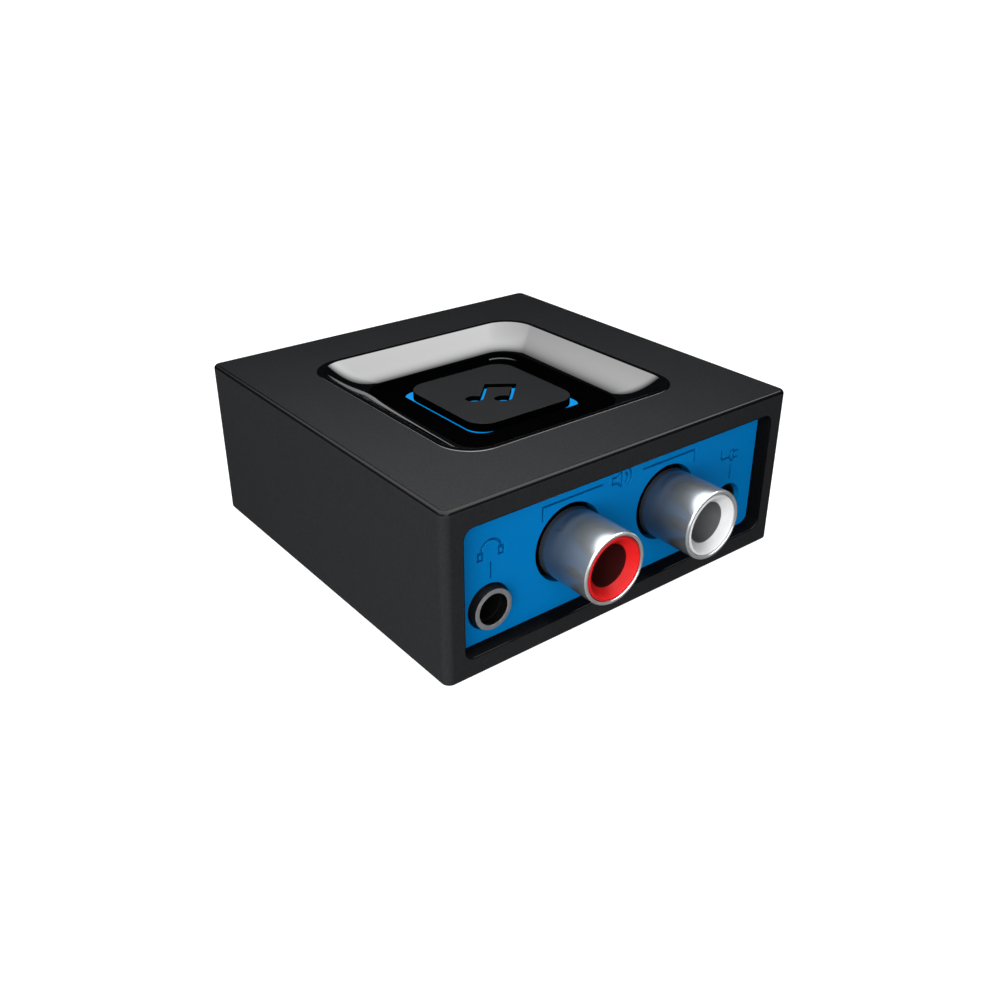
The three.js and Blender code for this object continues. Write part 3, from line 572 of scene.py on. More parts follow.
CAD_FINISH = {
    "phono_contact_red": CONTACT_GOLD,
    "phono_contact_white": CONTACT_GOLD,
    "phono_body_red": SOCKET_BLACK,
    "phono_body_white": SOCKET_BLACK,
    "aux_contact_sleeve": CONTACT_GOLD,
    "aux_contact_ring": CONTACT_GOLD,
    "aux_contact_tip": CONTACT_GOLD,
    "power_pin": NICKEL,
    "power_contact": CONTACT_GOLD,
    "main_board": BOARD_GREEN,
    "radio_board": BOARD_BLUE,
    "radio_shield": NICKEL,
    "audio_chip": SOCKET_BLACK,
    "regulator_chip": SOCKET_BLACK,
    "power_coil": SOCKET_BLACK,
    "crystal": NICKEL,
    "capacitor_left": NICKEL,
    "capacitor_right": NICKEL,
    "lamp_left": LAMP_CLEAR,
    "lamp_right": LAMP_CLEAR,
    "switch_base": SOCKET_BLACK,
    "switch_cover": NICKEL,
    "switch_plunger": SOCKET_BLACK,
}

# ---------------------------------------------------------------- housing and base

DISH_SEAT = 0.8
SEAT_CORNER = 3.8
FLAT = 0.995  # a normal's share along an axis, above which the face counts as flat
STEEP = 0.3  # and the share below which it counts as upright


def housing():
    """Top and four sides, open below, with the front opening and the recess that the dish lies in."""
    shell = soft_block(
        "housing", WIDTH / 2, DEPTH / 2, (0, MIDDLE), 0, HEIGHT, SIDE_CORNER, BOTTOM_FILLET, TOP_FILLET)
    inside = WIDTH / 2 - WALL
    cavity = block("cavity", (-inside, PANEL_FACE, -PAST), (inside, DEPTH - WALL, HEIGHT - WALL))
    opening_middle = (0, (OPENING_LOW + OPENING_HIGH) / 2)
    opening = tunnel(
        "opening", OPENING_HALF, (OPENING_HIGH - OPENING_LOW) / 2, opening_middle,
        0, PANEL_FACE + PAST, OPENING_CORNER, EDGE)
    recess = DISH_HALF + RECESS_PLAY
    rim = [(recess, recess, LEDGE, DISH_CORNER)]
    for inset, rise in fillet(RECESS_EDGE, EDGE_STEPS):
        rim.append((recess + inset, recess + inset, HEIGHT - RECESS_EDGE + rise, DISH_CORNER + inset))
    outside = recess + RECESS_EDGE
    rim.append((outside, outside, HEIGHT + PAST, DISH_CORNER + RECESS_EDGE))
    hole = DISH_HALF - DISH_SEAT
    cut(
        shell, cavity, opening, loft("dish_recess", rim, (0, MIDDLE)),
        plate("dish_hole", hole, hole, (0, MIDDLE), HEIGHT - WALL - PAST, LEDGE + 0.5, SEAT_CORNER))
    place(shell, "housing", HOUSING_BLACK, "housing", "housing_black", "housing_shell")
    reach = WIDTH / 2 - WALL / 2

    def behind_front(spot, normal):
        return abs(spot.x) < reach and EDGE < spot.y < DEPTH - WALL / 2 and spot.z < HEIGHT - WALL / 2

    def top_edge(spot, normal):
        outer = max(abs(spot.x) - WIDTH / 2, abs(spot.y - MIDDLE) - DEPTH / 2)
        in_fillet = outer > -TOP_FILLET and spot.z > HEIGHT - TOP_FILLET
        return in_fillet and STEEP < normal.z < FLAT

    def mouth_edge(spot, normal):
        in_height = OPENING_LOW - EDGE < spot.z < OPENING_HIGH + EDGE
        in_mouth = abs(spot.x) < OPENING_HALF + EDGE and in_height and 0 < spot.y < EDGE
        return in_mouth and abs(normal.y) < FLAT

    # Painted shade on the walls behind the front opening
    paint(shell, OPENING_PAINTED_SHADE, behind_front)
    # Painted shade with a glint: the top fillets and the opening's mouth get the darker, glossier copy of
    # the housing's black
    paint(shell, EDGE_PAINTED_SHADE, top_edge)
    paint(shell, EDGE_PAINTED_SHADE, mouth_edge)


def stand(node):
    """Where the middle of a CAD node lies across and along the housing."""
    middle = centre(node)
    return middle.x, middle.y


BASE_THICK = 1.6
BASE_CORNER = 0.6
BASE_FILLETS = (0.12, 0.05)
LABEL_HALF_X, LABEL_HALF_Y, LABEL_CORNER, LABEL_DEPTH = 12, 9, 0.8, 0.2
FOOT_PLAY, FOOT_POCKET = 0.1, 0.4
SCREW_SEAT_RADIUS, SCREW_SEAT = 2.1, 0.9
SCREW_HOLE = 1.1


def base():
    """Bottom cover with a blank label recess, pockets for the feet and seats for the screws."""
    half_x = BASE_HIGH.x
    half_y = (BASE_HIGH.y - BASE_LOW.y) / 2
    middle = (0, (BASE_LOW.y + BASE_HIGH.y) / 2)
    cover = soft_block("base", half_x, half_y, middle, 0, BASE_THICK, BASE_CORNER, *BASE_FILLETS)
    cutters = [plate(
        "label_recess", LABEL_HALF_X, LABEL_HALF_Y, (0, MIDDLE), -PAST, LABEL_DEPTH, LABEL_CORNER)]
    for name in CORNERS:
        foot_radius = centre(f"foot_{name}").x - span(f"foot_{name}")[0].x
        spot = stand(f"base_screw_{name}")
        cutters += [
            rod("pocket", foot_radius + FOOT_PLAY, "Z", -PAST, FOOT_POCKET, stand(f"foot_{name}")),
            rod("seat", SCREW_SEAT_RADIUS, "Z", -PAST, SCREW_SEAT, spot),
            rod("hole", SCREW_HOLE, "Z", SCREW_SEAT / 2, 2 * BASE_THICK, spot, segments=COARSE),
        ]
    cut(cover, *cutters)
    place(cover, "base", HOUSING_BLACK, "housing", "housing_black", "base_cover")


FOOT_HOLLOW = 0.06
FOOT_RIM, FOOT_SLANT = 0.8, 0.2
FOOT_FILLET = 0.25


def foot(place_name):
    """Rubber foot that stands on a low rim."""
    low, high = span(f"foot_{place_name}")
    radius = (high.x - low.x) / 2
    hollow = low.z + FOOT_HOLLOW
    profile = [(0, hollow), (radius - FOOT_RIM - FOOT_SLANT, hollow), (radius - FOOT_RIM, low.z)]
    for inset, rise in reversed(fillet(FOOT_FILLET)):
        profile.append((radius - inset, low.z + FOOT_FILLET - rise))
    profile += [(radius, high.z), (0, high.z)]
    body = lathe("foot", profile, "Z", stand(f"foot_{place_name}"))
    place(body, f"rubber_foot_{place_name}", FOOT_RUBBER, "housing", "foot_rubber", f"foot_{place_name}")


HEAD_BACK = 0.85
SHANK = 0.8
THREAD_ROOT, THREAD_CREST = 0.72, 0.86
THREAD_START, THREAD_PITCH = 0.2, 0.45
TIP, TIP_RADIUS = 0.6, 0.3
SLOT_REACH, SLOT_HALF, SLOT_DEPTH = 1.1, 0.22, 0.45


def screw(place_name):
    """Cross-headed screw with ridges for its thread."""
    low, high = span(f"base_screw_{place_name}")
    x, y = stand(f"base_screw_{place_name}")
    radius = (high.x - low.x) / 2
    profile = [
        (0, low.z), (radius - 0.5, low.z + 0.02), (radius - 0.15, low.z + 0.14), (radius, low.z + 0.3),
        (radius, HEAD_BACK), (SHANK, HEAD_BACK),
    ]
    turns = int((high.z - TIP - HEAD_BACK) / THREAD_PITCH)
    for i in range(turns):
        start = HEAD_BACK + THREAD_START + i * THREAD_PITCH
        profile += [(THREAD_ROOT, start), (THREAD_CREST, start + THREAD_PITCH * 0.45),
                    (THREAD_ROOT, start + THREAD_PITCH * 0.9)]
    profile += [(TIP_RADIUS, high.z), (0, high.z)]
    body = lathe("screw", profile, "Z", (x, y), COARSE)
    arms = [
        block("slot", (x - along, y - across, low.z - PAST), (x + along, y + across, low.z + SLOT_DEPTH))
        for along, across in ((SLOT_REACH, SLOT_HALF), (SLOT_HALF, SLOT_REACH))
    ]
    cut(body, *arms)
    place(
        body, f"screw_{place_name}", SCREW_STEEL, "housing", "screw_steel", f"base_screw_{place_name}")


# ---------------------------------------------------------------- connector panel

STROKE = 0.24
STROKE_LIP = 0.04
STROKE_DEPTH = 0.45
STROKE_AHEAD = 0.1
MITRE_LEAST = 0.5  # limits how far a line widens at a sharp bend
MARK_SHIFT = 0.3
TICK_TOP, TICK_FOOT = 11.6, 9.85
BRACKET_TOP, BRACKET_FOOT = 15.65, 14.1
BRACKET_OUT, BRACKET_IN = 11.6, 3.15
HEADPHONES_Z = 13.0
LOUDSPEAKER = (-0.55, 15.55)
PLUG_Z = 13.25
HOLE_BACK = 5.0
HOLE_FLARE = 0.06


def stroke(points, looped=False):
    """Cutter for an engraved line with sloping walls through points (x, z) on the panel's face."""
    points = [Vector(p) for p in points]
    if looped:
        points.append(points[0].copy())
    count = len(points)
    narrow, wide = STROKE / 2, STROKE / 2 + STROKE_LIP
    levels = ((-STROKE_AHEAD, wide), (0.0, wide), (STROKE_LIP, narrow), (STROKE_DEPTH, narrow))
    rings = []
    for i, point in enumerate(points):
        before = points[i - 1] if i else (points[-2] if looped else None)
        after = points[i + 1] if i < count - 1 else (points[1] if looped else None)
        ways = []
        if before is not None:
            ways.append((point - before).normalized())
        if after is not None:
            ways.append((after - point).normalized())
        along = sum(ways, Vector((0, 0))).normalized()
        side = Vector((-along.y, along.x))
        stretch = 1 / max(MITRE_LEAST, along.dot(ways[0]))
        end = 0.0 if len(ways) == 2 else (narrow if i else -narrow)
        tip = point + along * end
        ring = []
        for sign, order in ((1, levels), (-1, levels[::-1])):
            for depth, half in order:
                edge = tip + side * sign * half * stretch
                ring.append((edge.x, PANEL_FACE + depth, edge.y))
        rings.append(ring)
    return make("stroke", *skin(rings[:-1], True) if looped else skin(rings))


def arc(middle, radius, start, end, steps=10):
    """Points from one angle to another, in degrees."""
    angles = [math.radians(start + (end - start) * i / steps) for i in range(steps + 1)]
    return [(middle[0] + radius * math.cos(a), middle[1] + radius * math.sin(a)) for a in angles]


def headphones(x, z):
    """A band and two cups."""
    band, cup_half, cup_low, cup_high = 1.35, 0.28, z - 0.75, z + 0.12
    marks = [(arc((x, z), band, 180, 0, 14), False)]
    for cup in (x - band, x + band):
        left, right = cup - cup_half, cup + cup_half
        marks.append(([(left, cup_low), (right, cup_low), (right, cup_high), (left, cup_high)], True))
    return marks


def loudspeaker(x, z):
    """A magnet with its cone, and two waves of sound."""
    rear, neck, mouth = x - 0.75, x - 0.1, x + 0.65
    slim, wide = 0.38, 0.95
    cone = [(rear, z - slim), (neck, z - slim), (mouth, z - wide),
            (mouth, z + wide), (neck, z + slim), (rear, z + slim)]
    return [(cone, True)] + [(arc((x + 0.75, z), radius, 48, -48), False) for radius in (0.75, 1.35)]


def plug(x, z):
    """A cord, the plug's round back and flat face, and two pins."""
    face, axis, half = x + 0.35, z - 0.35, 0.75
    cord = [(x - 1.9, z + 0.75), (x - 1.9, z - 0.2), (x - 1.6, z - 0.5), (x - 0.5, z - 0.5)]
    pins = [[(face + 0.1, axis + rise), (face + 0.7, axis + rise)] for rise in (0.4, -0.4)]
    lines = [cord, arc((face, axis), half, 270, 90, 8), [(face, axis + half), (face, axis - half)], *pins]
    return [(line, False) for line in lines]


def panel_marks():
    """(points, looped) of every engraved line."""
    marks = [([(x + MARK_SHIFT, TICK_TOP), (x + MARK_SHIFT, TICK_FOOT)], False) for x in (AUX_X, POWER_X)]
    for side in (-1, 1):
        outer, inner = side * BRACKET_OUT + MARK_SHIFT, side * BRACKET_IN + MARK_SHIFT
        marks.append(([(outer, BRACKET_FOOT), (outer, BRACKET_TOP), (inner, BRACKET_TOP)], False))
    marks += headphones(AUX_X + MARK_SHIFT, HEADPHONES_Z)
    marks += loudspeaker(*LOUDSPEAKER)
    marks += plug(POWER_X + MARK_SHIFT, PLUG_Z)
    return marks


def panel():
    """Blue sheet with four round holes and the engraved marks."""
    low, high = (PANEL_LOW.x, PANEL_FACE, PANEL_LOW.z), (PANEL_HIGH.x, PANEL_HIGH.y, PANEL_HIGH.z)
    sheet = block("panel", low, high)
    holes = [(PHONO_HOLE, (centre(f"phono_shell_{colour}").x, PHONO_Z)) for colour in PHONO_COLOURS]
    holes += [(AUX_HOLE, (AUX_X, SMALL_JACK_Z)), (POWER_HOLE, (POWER_X, SMALL_JACK_Z))]
    cutters = [
        rod("hole", radius, "Y", PANEL_FACE, HOLE_BACK, spot, flare=HOLE_FLARE) for radius, spot in holes
    ]
    cut(sheet, *cutters, *[stroke(points, looped) for points, looped in panel_marks()])
    place(sheet, "panel", PANEL_BLUE, "housing", "panel_blue", "connector_panel")


# ---------------------------------------------------------------- sockets

insert_low, insert_high = span("phono_insert_red")
PHONO_Z = (insert_low.z + insert_high.z) / 2
INSERT_RADIUS = (insert_high.x - insert_low.x) / 2
BEAD_TURN, BEAD_STEPS, BEAD_LAP = 225, 16, 0.02
RIM_BEADS = 1.6  # depth of the rim's painted highlight, in bead radii
BARREL_BACK = 5.0
LEG_HALF, LEG_FRONT, LEG_BACK = 0.7, 3.8, 4.3
INSERT_WALL, PIN_HOLE = 0.6, 1.0


def phono_barrel(colour):
    """Plated barrel with a rolled rim and a solder leg, painted black behind the panel's face as painted
    shade.
    """
    low, high = span(f"phono_shell_{colour}")
    x, front, radius = (low.x + high.x) / 2, low.y, (high.x - low.x) / 2
    bead = (radius - SHELL_BORE) / 2 + BEAD_LAP
    ring = radius - bead
    profile = []
    for i in range(BEAD_STEPS + 1):
        angle = math.radians(BEAD_TURN - BEAD_TURN * i / BEAD_STEPS)
        profile.append((ring + bead * math.cos(angle), front + bead - bead * math.sin(angle)))
    profile += [(radius, front + 1.5), (radius, PANEL_FACE + ROOT_SHOW), (radius, BARREL_BACK),
                (SHELL_BORE, BARREL_BACK), (SHELL_BORE, front + 2 * bead)]
    barrel = lathe("barrel", profile, "Y", (x, PHONO_Z), BEAD_FINE)
    leg_top = PHONO_Z - SHELL_BORE - 0.1
    join(barrel, block("leg", (x - LEG_HALF, LEG_FRONT, low.z), (x + LEG_HALF, LEG_BACK, leg_top)))
    place(barrel, f"phono_barrel_{colour}", BARREL_NICKEL_PAINTED_HIGHLIGHT, "housing", "nickel", f"phono_shell_{colour}")
    # Painted highlight on the rolled rim
    paint(barrel, RIM_PAINTED_HIGHLIGHT, lambda spot, normal: spot.y < front + RIM_BEADS * bead)
    # Painted shade: the barrel is painted black behind the panel's face
    paint(barrel, PAINTED_SHADE_BLACK, lambda spot, normal: spot.y > PANEL_FACE + ROOT_SHOW)


def phono_insert(colour, mouth_material, bore_shade_material, slot):
    """Coloured insulator: a rounded lip, a cone down to the bore and a hole for the pin in its back."""
    low, high = span(f"phono_insert_{colour}")
    x, front, back = centre(f"phono_shell_{colour}").x, low.y, high.y
    cone_end = front + CONE_DEPTH
    profile = [
        (INSERT_RADIUS, back), (INSERT_RADIUS, front + 0.3), (INSERT_RADIUS - 0.02, front + 0.10),
        (INSERT_RADIUS - 0.06, front + 0.03), (INSERT_RADIUS - 0.11, front),
        (INSERT_LIP, front + 0.01), (INSERT_LIP - 0.05, front + 0.06),
        (INSERT_BORE + 0.09, cone_end - 0.09), (INSERT_BORE + 0.02, cone_end - 0.01),
        (INSERT_BORE, cone_end + 0.05), (INSERT_BORE, back - INSERT_WALL),
        (PIN_HOLE, back - INSERT_WALL), (PIN_HOLE, back),
    ]
    insert = lathe("insert", profile, "Y", (x, PHONO_Z), BEAD_FINE)
    place(insert, f"phono_mouth_{colour}", mouth_material, "housing", slot, f"phono_insert_{colour}")

    def in_bore(spot, normal):
        return spot.y > cone_end and math.hypot(spot.x - x, spot.z - PHONO_Z) < INSERT_BORE + 0.01

    # Painted shade down the bore
    paint(insert, bore_shade_material, in_bore)


BEHIND_PANEL = 0.2
WAIST_FROM, WAIST_TO, WAIST_EDGE, WAIST_STEP = 1.1, 2.7, 0.1, 0.12
AUX_WALL, POWER_WALL = 1.2, 2.0
SPRING_SLOTS, SPRING_SLOT_LONG = (4.6, 8.1, 11.6), 1.8
PIN_TAIL, PIN_TAIL_FROM = 0.5, 10.0
BLADE_HALF, BLADE_FROM, BLADE_TO = 0.9, 8.5, 10.5


def aux_socket():
    """3.5 mm socket: a round nose, a bore with a waist and slots for the contact springs."""
    front, face = AUX_LOW.y, PANEL_HIGH.y + BEHIND_PANEL
    back_wall, waist = AUX_HIGH.y - AUX_WALL, AUX_BORE - WAIST_STEP
    body = block("aux", (AUX_LOW.x, face, AUX_LOW.z), (AUX_HIGH.x, AUX_HIGH.y, AUX_HIGH.z))
    nose = lathe("nose", [
        (0, front), (AUX_NOSE - 0.13, front), (AUX_NOSE - 0.06, front + 0.03),
        (AUX_NOSE, front + 0.13), (AUX_NOSE, face + PAST), (0, face + PAST),
    ], "Y", (AUX_X, SMALL_JACK_Z))
    bore = lathe("bore", [
        (0, front - PAST), (AUX_BORE + 0.06, front - PAST), (AUX_BORE + 0.05, front),
        (AUX_BORE, front + 0.05), (AUX_BORE, front + WAIST_FROM),
        (waist, front + WAIST_FROM + WAIST_EDGE), (waist, front + WAIST_TO - WAIST_EDGE),
        (AUX_BORE, front + WAIST_TO), (AUX_BORE, back_wall), (0, back_wall),
    ], "Y", (AUX_X, SMALL_JACK_Z))
    slot_left, slot_foot = AUX_X + AUX_BORE - 0.5, AUX_LOW.z - PAST
    slot_right, slot_top = AUX_HIGH.x + PAST, SMALL_JACK_Z + 0.8
    slots = [
        block("slot", (slot_left, y, slot_foot), (slot_right, y + SPRING_SLOT_LONG, slot_top))
        for y in SPRING_SLOTS
    ]
    join(body, nose)
    cut(body, bore, *slots)
    place(body, "aux_socket", SOCKET_BLACK, "housing", "socket_black", "aux_body")

    def in_bore(spot, normal):
        off_axis = math.hypot(spot.x - AUX_X, spot.z - SMALL_JACK_Z)
        return spot.y > front + 0.08 and off_axis < AUX_BORE + 0.01

    paint(body, SOCKET_RING, lambda spot, normal: spot.y < front + 0.04 and normal.y < -0.5)
    # Painted shade down the bore
    paint(body, OPENING_PAINTED_SHADE, in_bore)


def power_socket():
    """Power socket: a round nose, its bore, a hole for the pin's tail and a slot for the contact."""
    front, face, back = POWER_LOW.y, PANEL_HIGH.y + BEHIND_PANEL, POWER_HIGH.y
    axis = (POWER_X, SMALL_JACK_Z)
    body = block("power", (POWER_LOW.x, face, POWER_LOW.z), (POWER_HIGH.x, back, POWER_HIGH.z))
    nose = rod("nose", POWER_NOSE, "Y", front, face + PAST, axis)
    bore = rod("bore", POWER_BORE, "Y", front, back - POWER_WALL, axis, flare=0.05)
    tail = rod("tail", PIN_TAIL, "Y", PIN_TAIL_FROM, back + PAST, axis, segments=COARSE)
    slot = block(
        "slot", (POWER_X - BLADE_HALF, BLADE_FROM, POWER_LOW.z - PAST),
        (POWER_X + BLADE_HALF, BLADE_TO, SMALL_JACK_Z - 1.5))
    join(body, nose)
    cut(body, bore, tail, slot)
    place(body, "power_socket", SOCKET_BLACK, "housing", "socket_black", "power_body")


# ---------------------------------------------------------------- dish, button and light guide

LIP_ROLL = 0.03
WELL_EDGE = 0.05
UNDER_HALF, UNDER_TOP = 12.2, 17.9
SKIRT = 1.1
NOTE_HEADS = ((-1.75, -2.45), (1.75, -1.85))
HEAD_LONG, HEAD_SHORT, HEAD_TILT, HEAD_POINTS = 1.15, 0.85, 0.35, 28
NOTE_STEMS, STEM = ((-1.15, -2.3, 2.3), (2.35, -1.7, 2.9)), 0.5
NOTE_BEAM = ((-1.15, 1.35), (2.85, 2.05), (2.85, 3.15), (-1.15, 2.45))
BUTTON_FILLETS = (0.01, 0.10)
CORE_PLAY, CORE_GAP = 0.2, 0.02
PAD_PLAY = 0.2
PAD_FILLETS = (0.05, 0.06)
FLANGE_LOW, FLANGE_TOP, FLANGE_CORNER = 15.3, 16.3, 3.0
GUIDE_STEM = 1.5


def dish():
    """Glossy frame: lip, hollow slope, flat floor, low ridge and well."""
    top = DISH_HIGH.z
    lip_in = DISH_HALF - LIP_WIDTH
    section = [(DISH_HALF - inset, top - LIP_EDGE + rise) for inset, rise in fillet(LIP_EDGE, EDGE_STEPS)]
    section += [(lip_in + LIP_EDGE, top), (lip_in + 0.01, top - 0.01), (lip_in - 0.01, top - LIP_ROLL)]
    slope_outer, slope_top = lip_in - LIP_ROLL, top - 0.05
    for i in range(SLOPE_STEPS + 1):
        t = i / SLOPE_STEPS
        section.append((
            slope_outer + (SLOPE_INNER - slope_outer) * t,
            DISH_FLOOR + (slope_top - DISH_FLOOR) * (1 - t) ** SLOPE_POWER))
    for i in range(RIDGE_STEPS + 1):
        t = i / RIDGE_STEPS
        section.append((
            RIDGE_OUTER - RIDGE_WIDTH * t,
            DISH_FLOOR - RIDGE_DROP * (1 - math.cos(math.pi * t)) / 2))
    well_top = DISH_FLOOR - RIDGE_DROP
    for inset, rise in reversed(fillet(WELL_EDGE, EDGE_STEPS)):
        section.append((WELL_HALF + inset, well_top - WELL_EDGE + rise))
    rest = LEDGE + RECESS_PLAY
    section += [(WELL_HALF, DISH_LOW.z), (UNDER_HALF, DISH_LOW.z), (DISH_HALF - SKIRT, UNDER_TOP),
                (DISH_HALF - SKIRT + 0.1, rest), (DISH_HALF, rest)]
    run = (DISH_CORNER - WELL_CORNER) / (DISH_HALF - WELL_HALF)
    stack = [(half, half, z, WELL_CORNER + (half - WELL_HALF) * run) for half, z in section]
    body = loft("dish", stack, (0, MIDDLE), hollow=True)
    place(body, "dish", PIANO_BLACK, "housing", "gloss_black", "top_dish")

    def unlit(spot, normal):
        """Painted shade: floor, well and the foot of the slope, but not the ridge round the rear right
        corner.
        """
        if spot.z > DISH_FLOOR + SLOPE_FOOT:
            return False
        ridge = well_top + 0.001 < spot.z < DISH_FLOOR - 0.001
        return not (ridge and spot.x > RIDGE_START and spot.y - MIDDLE > RIDGE_START)

    # Painted shade: these parts of the piano black are painted black without shine
    paint(body, PAINTED_SHADE_BLACK, unlit)


def note_outline():
    """Outlines of a beamed pair of notes: two tilted heads, two stems and a sloping beam."""
    shapes = []
    across, up = math.cos(HEAD_TILT), math.sin(HEAD_TILT)
    for x, y in NOTE_HEADS:
        head = []
        for i in range(HEAD_POINTS):
            angle = 2 * math.pi * i / HEAD_POINTS
            u, v = HEAD_LONG * math.cos(angle), HEAD_SHORT * math.sin(angle)
            head.append((x + u * across - v * up, y + u * up + v * across))
        shapes.append(head)
    for x, low, high in NOTE_STEMS:
        shapes.append([(x, low), (x + STEM, low), (x + STEM, high), (x, high)])
    return shapes + [NOTE_BEAM]


def button():
    """Push button with the notes cut through it and a pocket for the guide's core."""
    cap = soft_block(
        "button", BUTTON_HALF, BUTTON_HALF, (0, MIDDLE), BUTTON_LOW.z - CAP_DROP, BUTTON_HIGH.z,
        BUTTON_CORNER, *BUTTON_FILLETS)
    below, above = BUTTON_LOW.z - PAST, BUTTON_HIGH.z + PAST
    pocket_half = CORE_HALF + CORE_PLAY
    pocket = plate(
        "pocket", pocket_half, pocket_half, (0, MIDDLE), below, GUIDE_HIGH.z + CORE_GAP,
        CORE_CORNER + CORE_PLAY)
    turn = Matrix.Rotation(math.radians(ICON_TURN), 2)
    cutters = []
    for shape in note_outline():
        points = [turn @ Vector(p) for p in shape]
        rings = [[(p.x, p.y + MIDDLE, z) for p in points] for z in (below, above)]
        cutters.append(make("note", *skin(rings)))
    note = join(cutters[0], *cutters[1:])
    cut(cap, pocket, note)
    place(cap, "button", BUTTON_BLACK, "button", "button_black", "pairing_button")
    # Painted shade: the button's sides and the notes' walls are painted black without shine
    paint(cap, PAINTED_SHADE_BLACK, lambda spot, normal: spot.z < BUTTON_HIGH.z - 0.03 and abs(normal.z) < 0.9)


def light_guide():
    """Pad under the button, a core in the button's pocket, a flange and the stem to the switch."""
    pad_half, flange_half = WELL_HALF - PAD_PLAY, GUIDE_HIGH.x
    inside = (FLANGE_LOW + FLANGE_TOP) / 2
    pad_top = BUTTON_LOW.z - GUIDE_DROP
    pad = soft_block("guide", pad_half, pad_half, (0, MIDDLE), inside, pad_top, WELL_CORNER, *PAD_FILLETS)
    core = plate("core", CORE_HALF, CORE_HALF, (0, MIDDLE), inside, GUIDE_HIGH.z, CORE_CORNER)
    flange = plate("flange", flange_half, flange_half, (0, MIDDLE), FLANGE_LOW, FLANGE_TOP, FLANGE_CORNER)
    stem = rod("stem", GUIDE_STEM, "Z", GUIDE_LOW.z, inside, (0, MIDDLE))
    join(pad, core, flange, stem)
    place(pad, "guide", GUIDE_BLUE, "button", "guide_blue", "light_guide")


DOME_SHEET = 0.12
DOME_FLANGE = 0.2
DOME_STEPS = 10


def snap_dome():
    """Thin dome in the switch."""
    low, high = span("switch_dome")
    radius = (high.x - low.x) / 2
    arch, crown = radius - DOME_FLANGE, high.z - low.z - DOME_SHEET
    under = []
    for i in range(DOME_STEPS + 1):
        t = i / DOME_STEPS
        under.append((arch * t, low.z + crown * (1 - t ** 2)))
    over = [(r, z + DOME_SHEET) for r, z in reversed(under)]
    profile = under + [(radius, low.z), (radius, low.z + DOME_SHEET)] + over
    body = lathe("dome", profile, "Z", stand("switch_dome"), MEDIUM)
    place(body, "snap_dome", NICKEL, "housing", "nickel", "switch_dome")
    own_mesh(body)


# ---------------------------------------------------------------- studio

# The camera's place is in millimetres from the housing's origin
CAMERA_SPOT = (-73.81, -70.286, 67.453)
CAMERA_LENS = 37.47
VIEW_TURN, VIEW_FALL, VIEW_ROLL = math.radians(-38.18), math.radians(28.07), math.radians(0.07)

# Lights and the card are in metres
CARD_LONG_HALF, CARD_WIDE_HALF = 0.62, 0.70
LIGHT_AIM = (0.0, 0.0, 0.01)
POOL_SOFTNESS = 0.04
FLOOR_REACH = 6.0
WHITE = (1, 1, 1, 1)
FLOOR_GREY = (0.25, 0.25, 0.25, 1)
SKY_TINT = (0.75, 0.86, 1.0, 1)


def camera():
    """The photograph's camera, solved from the housing's silhouette."""
    data = bpy.data.cameras.new("camera")
    data.sensor_width = 36.0
    data.lens = CAMERA_LENS
    data.clip_start = 0.005
    data.clip_end = 50.0
    obj = bpy.data.objects.new("camera", data)
    spot = Matrix.Translation(ORIGIN + Vector(CAMERA_SPOT) * MM)
    turn = Matrix.Rotation(VIEW_TURN, 4, "Z") @ Matrix.Rotation(math.pi / 2 - VIEW_FALL, 4, "X")
    obj.matrix_world = spot @ turn @ Matrix.Rotation(VIEW_ROLL, 4, "Z")
    scene.collection.objects.link(obj)
    scene.camera = obj


def graded_glow(name, left, right, fade_from, far_level):
    """Emission for the card that rises from left to right and fades near its far end."""
    material = bpy.data.materials.new(name)
    material.use_nodes = True
    nodes, links = material.node_tree.nodes, material.node_tree.links
    nodes.clear()
    glow = nodes.new("ShaderNodeEmission")
    output = nodes.new("ShaderNodeOutputMaterial")
    links.new(glow.outputs["Emission"], output.inputs["Surface"])
    coords = nodes.new("ShaderNodeTexCoord")
    parts = nodes.new("ShaderNodeSeparateXYZ")
    links.new(coords.outputs["Object"], parts.inputs["Vector"])
    across = nodes.new("ShaderNodeMapRange")
    across.inputs["From Min"].default_value = -CARD_WIDE_HALF
    across.inputs["From Max"].default_value = CARD_WIDE_HALF
    across.inputs["To Min"].default_value = left
    across.inputs["To Max"].default_value = right
    links.new(parts.outputs["X"], across.inputs["Value"])
    links.new(across.outputs["Result"], glow.inputs["Strength"])
    along = nodes.new("ShaderNodeMapRange")
    along.inputs["From Min"].default_value = -CARD_LONG_HALF
    along.inputs["From Max"].default_value = CARD_LONG_HALF
    links.new(parts.outputs["Y"], along.inputs["Value"])
    fade = nodes.new("ShaderNodeValToRGB")
    fade.color_ramp.interpolation = "EASE"
    fade.color_ramp.elements[0].position = fade_from
    fade.color_ramp.elements[0].color = WHITE
    fade.color_ramp.elements[1].color = (far_level, far_level, far_level, 1)
    links.new(along.outputs["Result"], fade.inputs["Fac"])
    links.new(fade.outputs["Color"], glow.inputs["Color"])
    return material


def flat(name, half_x, half_y):
    """Level rectangle about the world's origin that isn't part of the object."""
    mesh = bpy.data.meshes.new(name)
    corners = [(half_x, half_y, 0), (-half_x, half_y, 0), (-half_x, -half_y, 0), (half_x, -half_y, 0)]
    mesh.from_pydata(corners, [], [(0, 1, 2, 3)])
    obj = bpy.data.objects.new(name, mesh)
    scene.collection.objects.link(obj)
    return obj


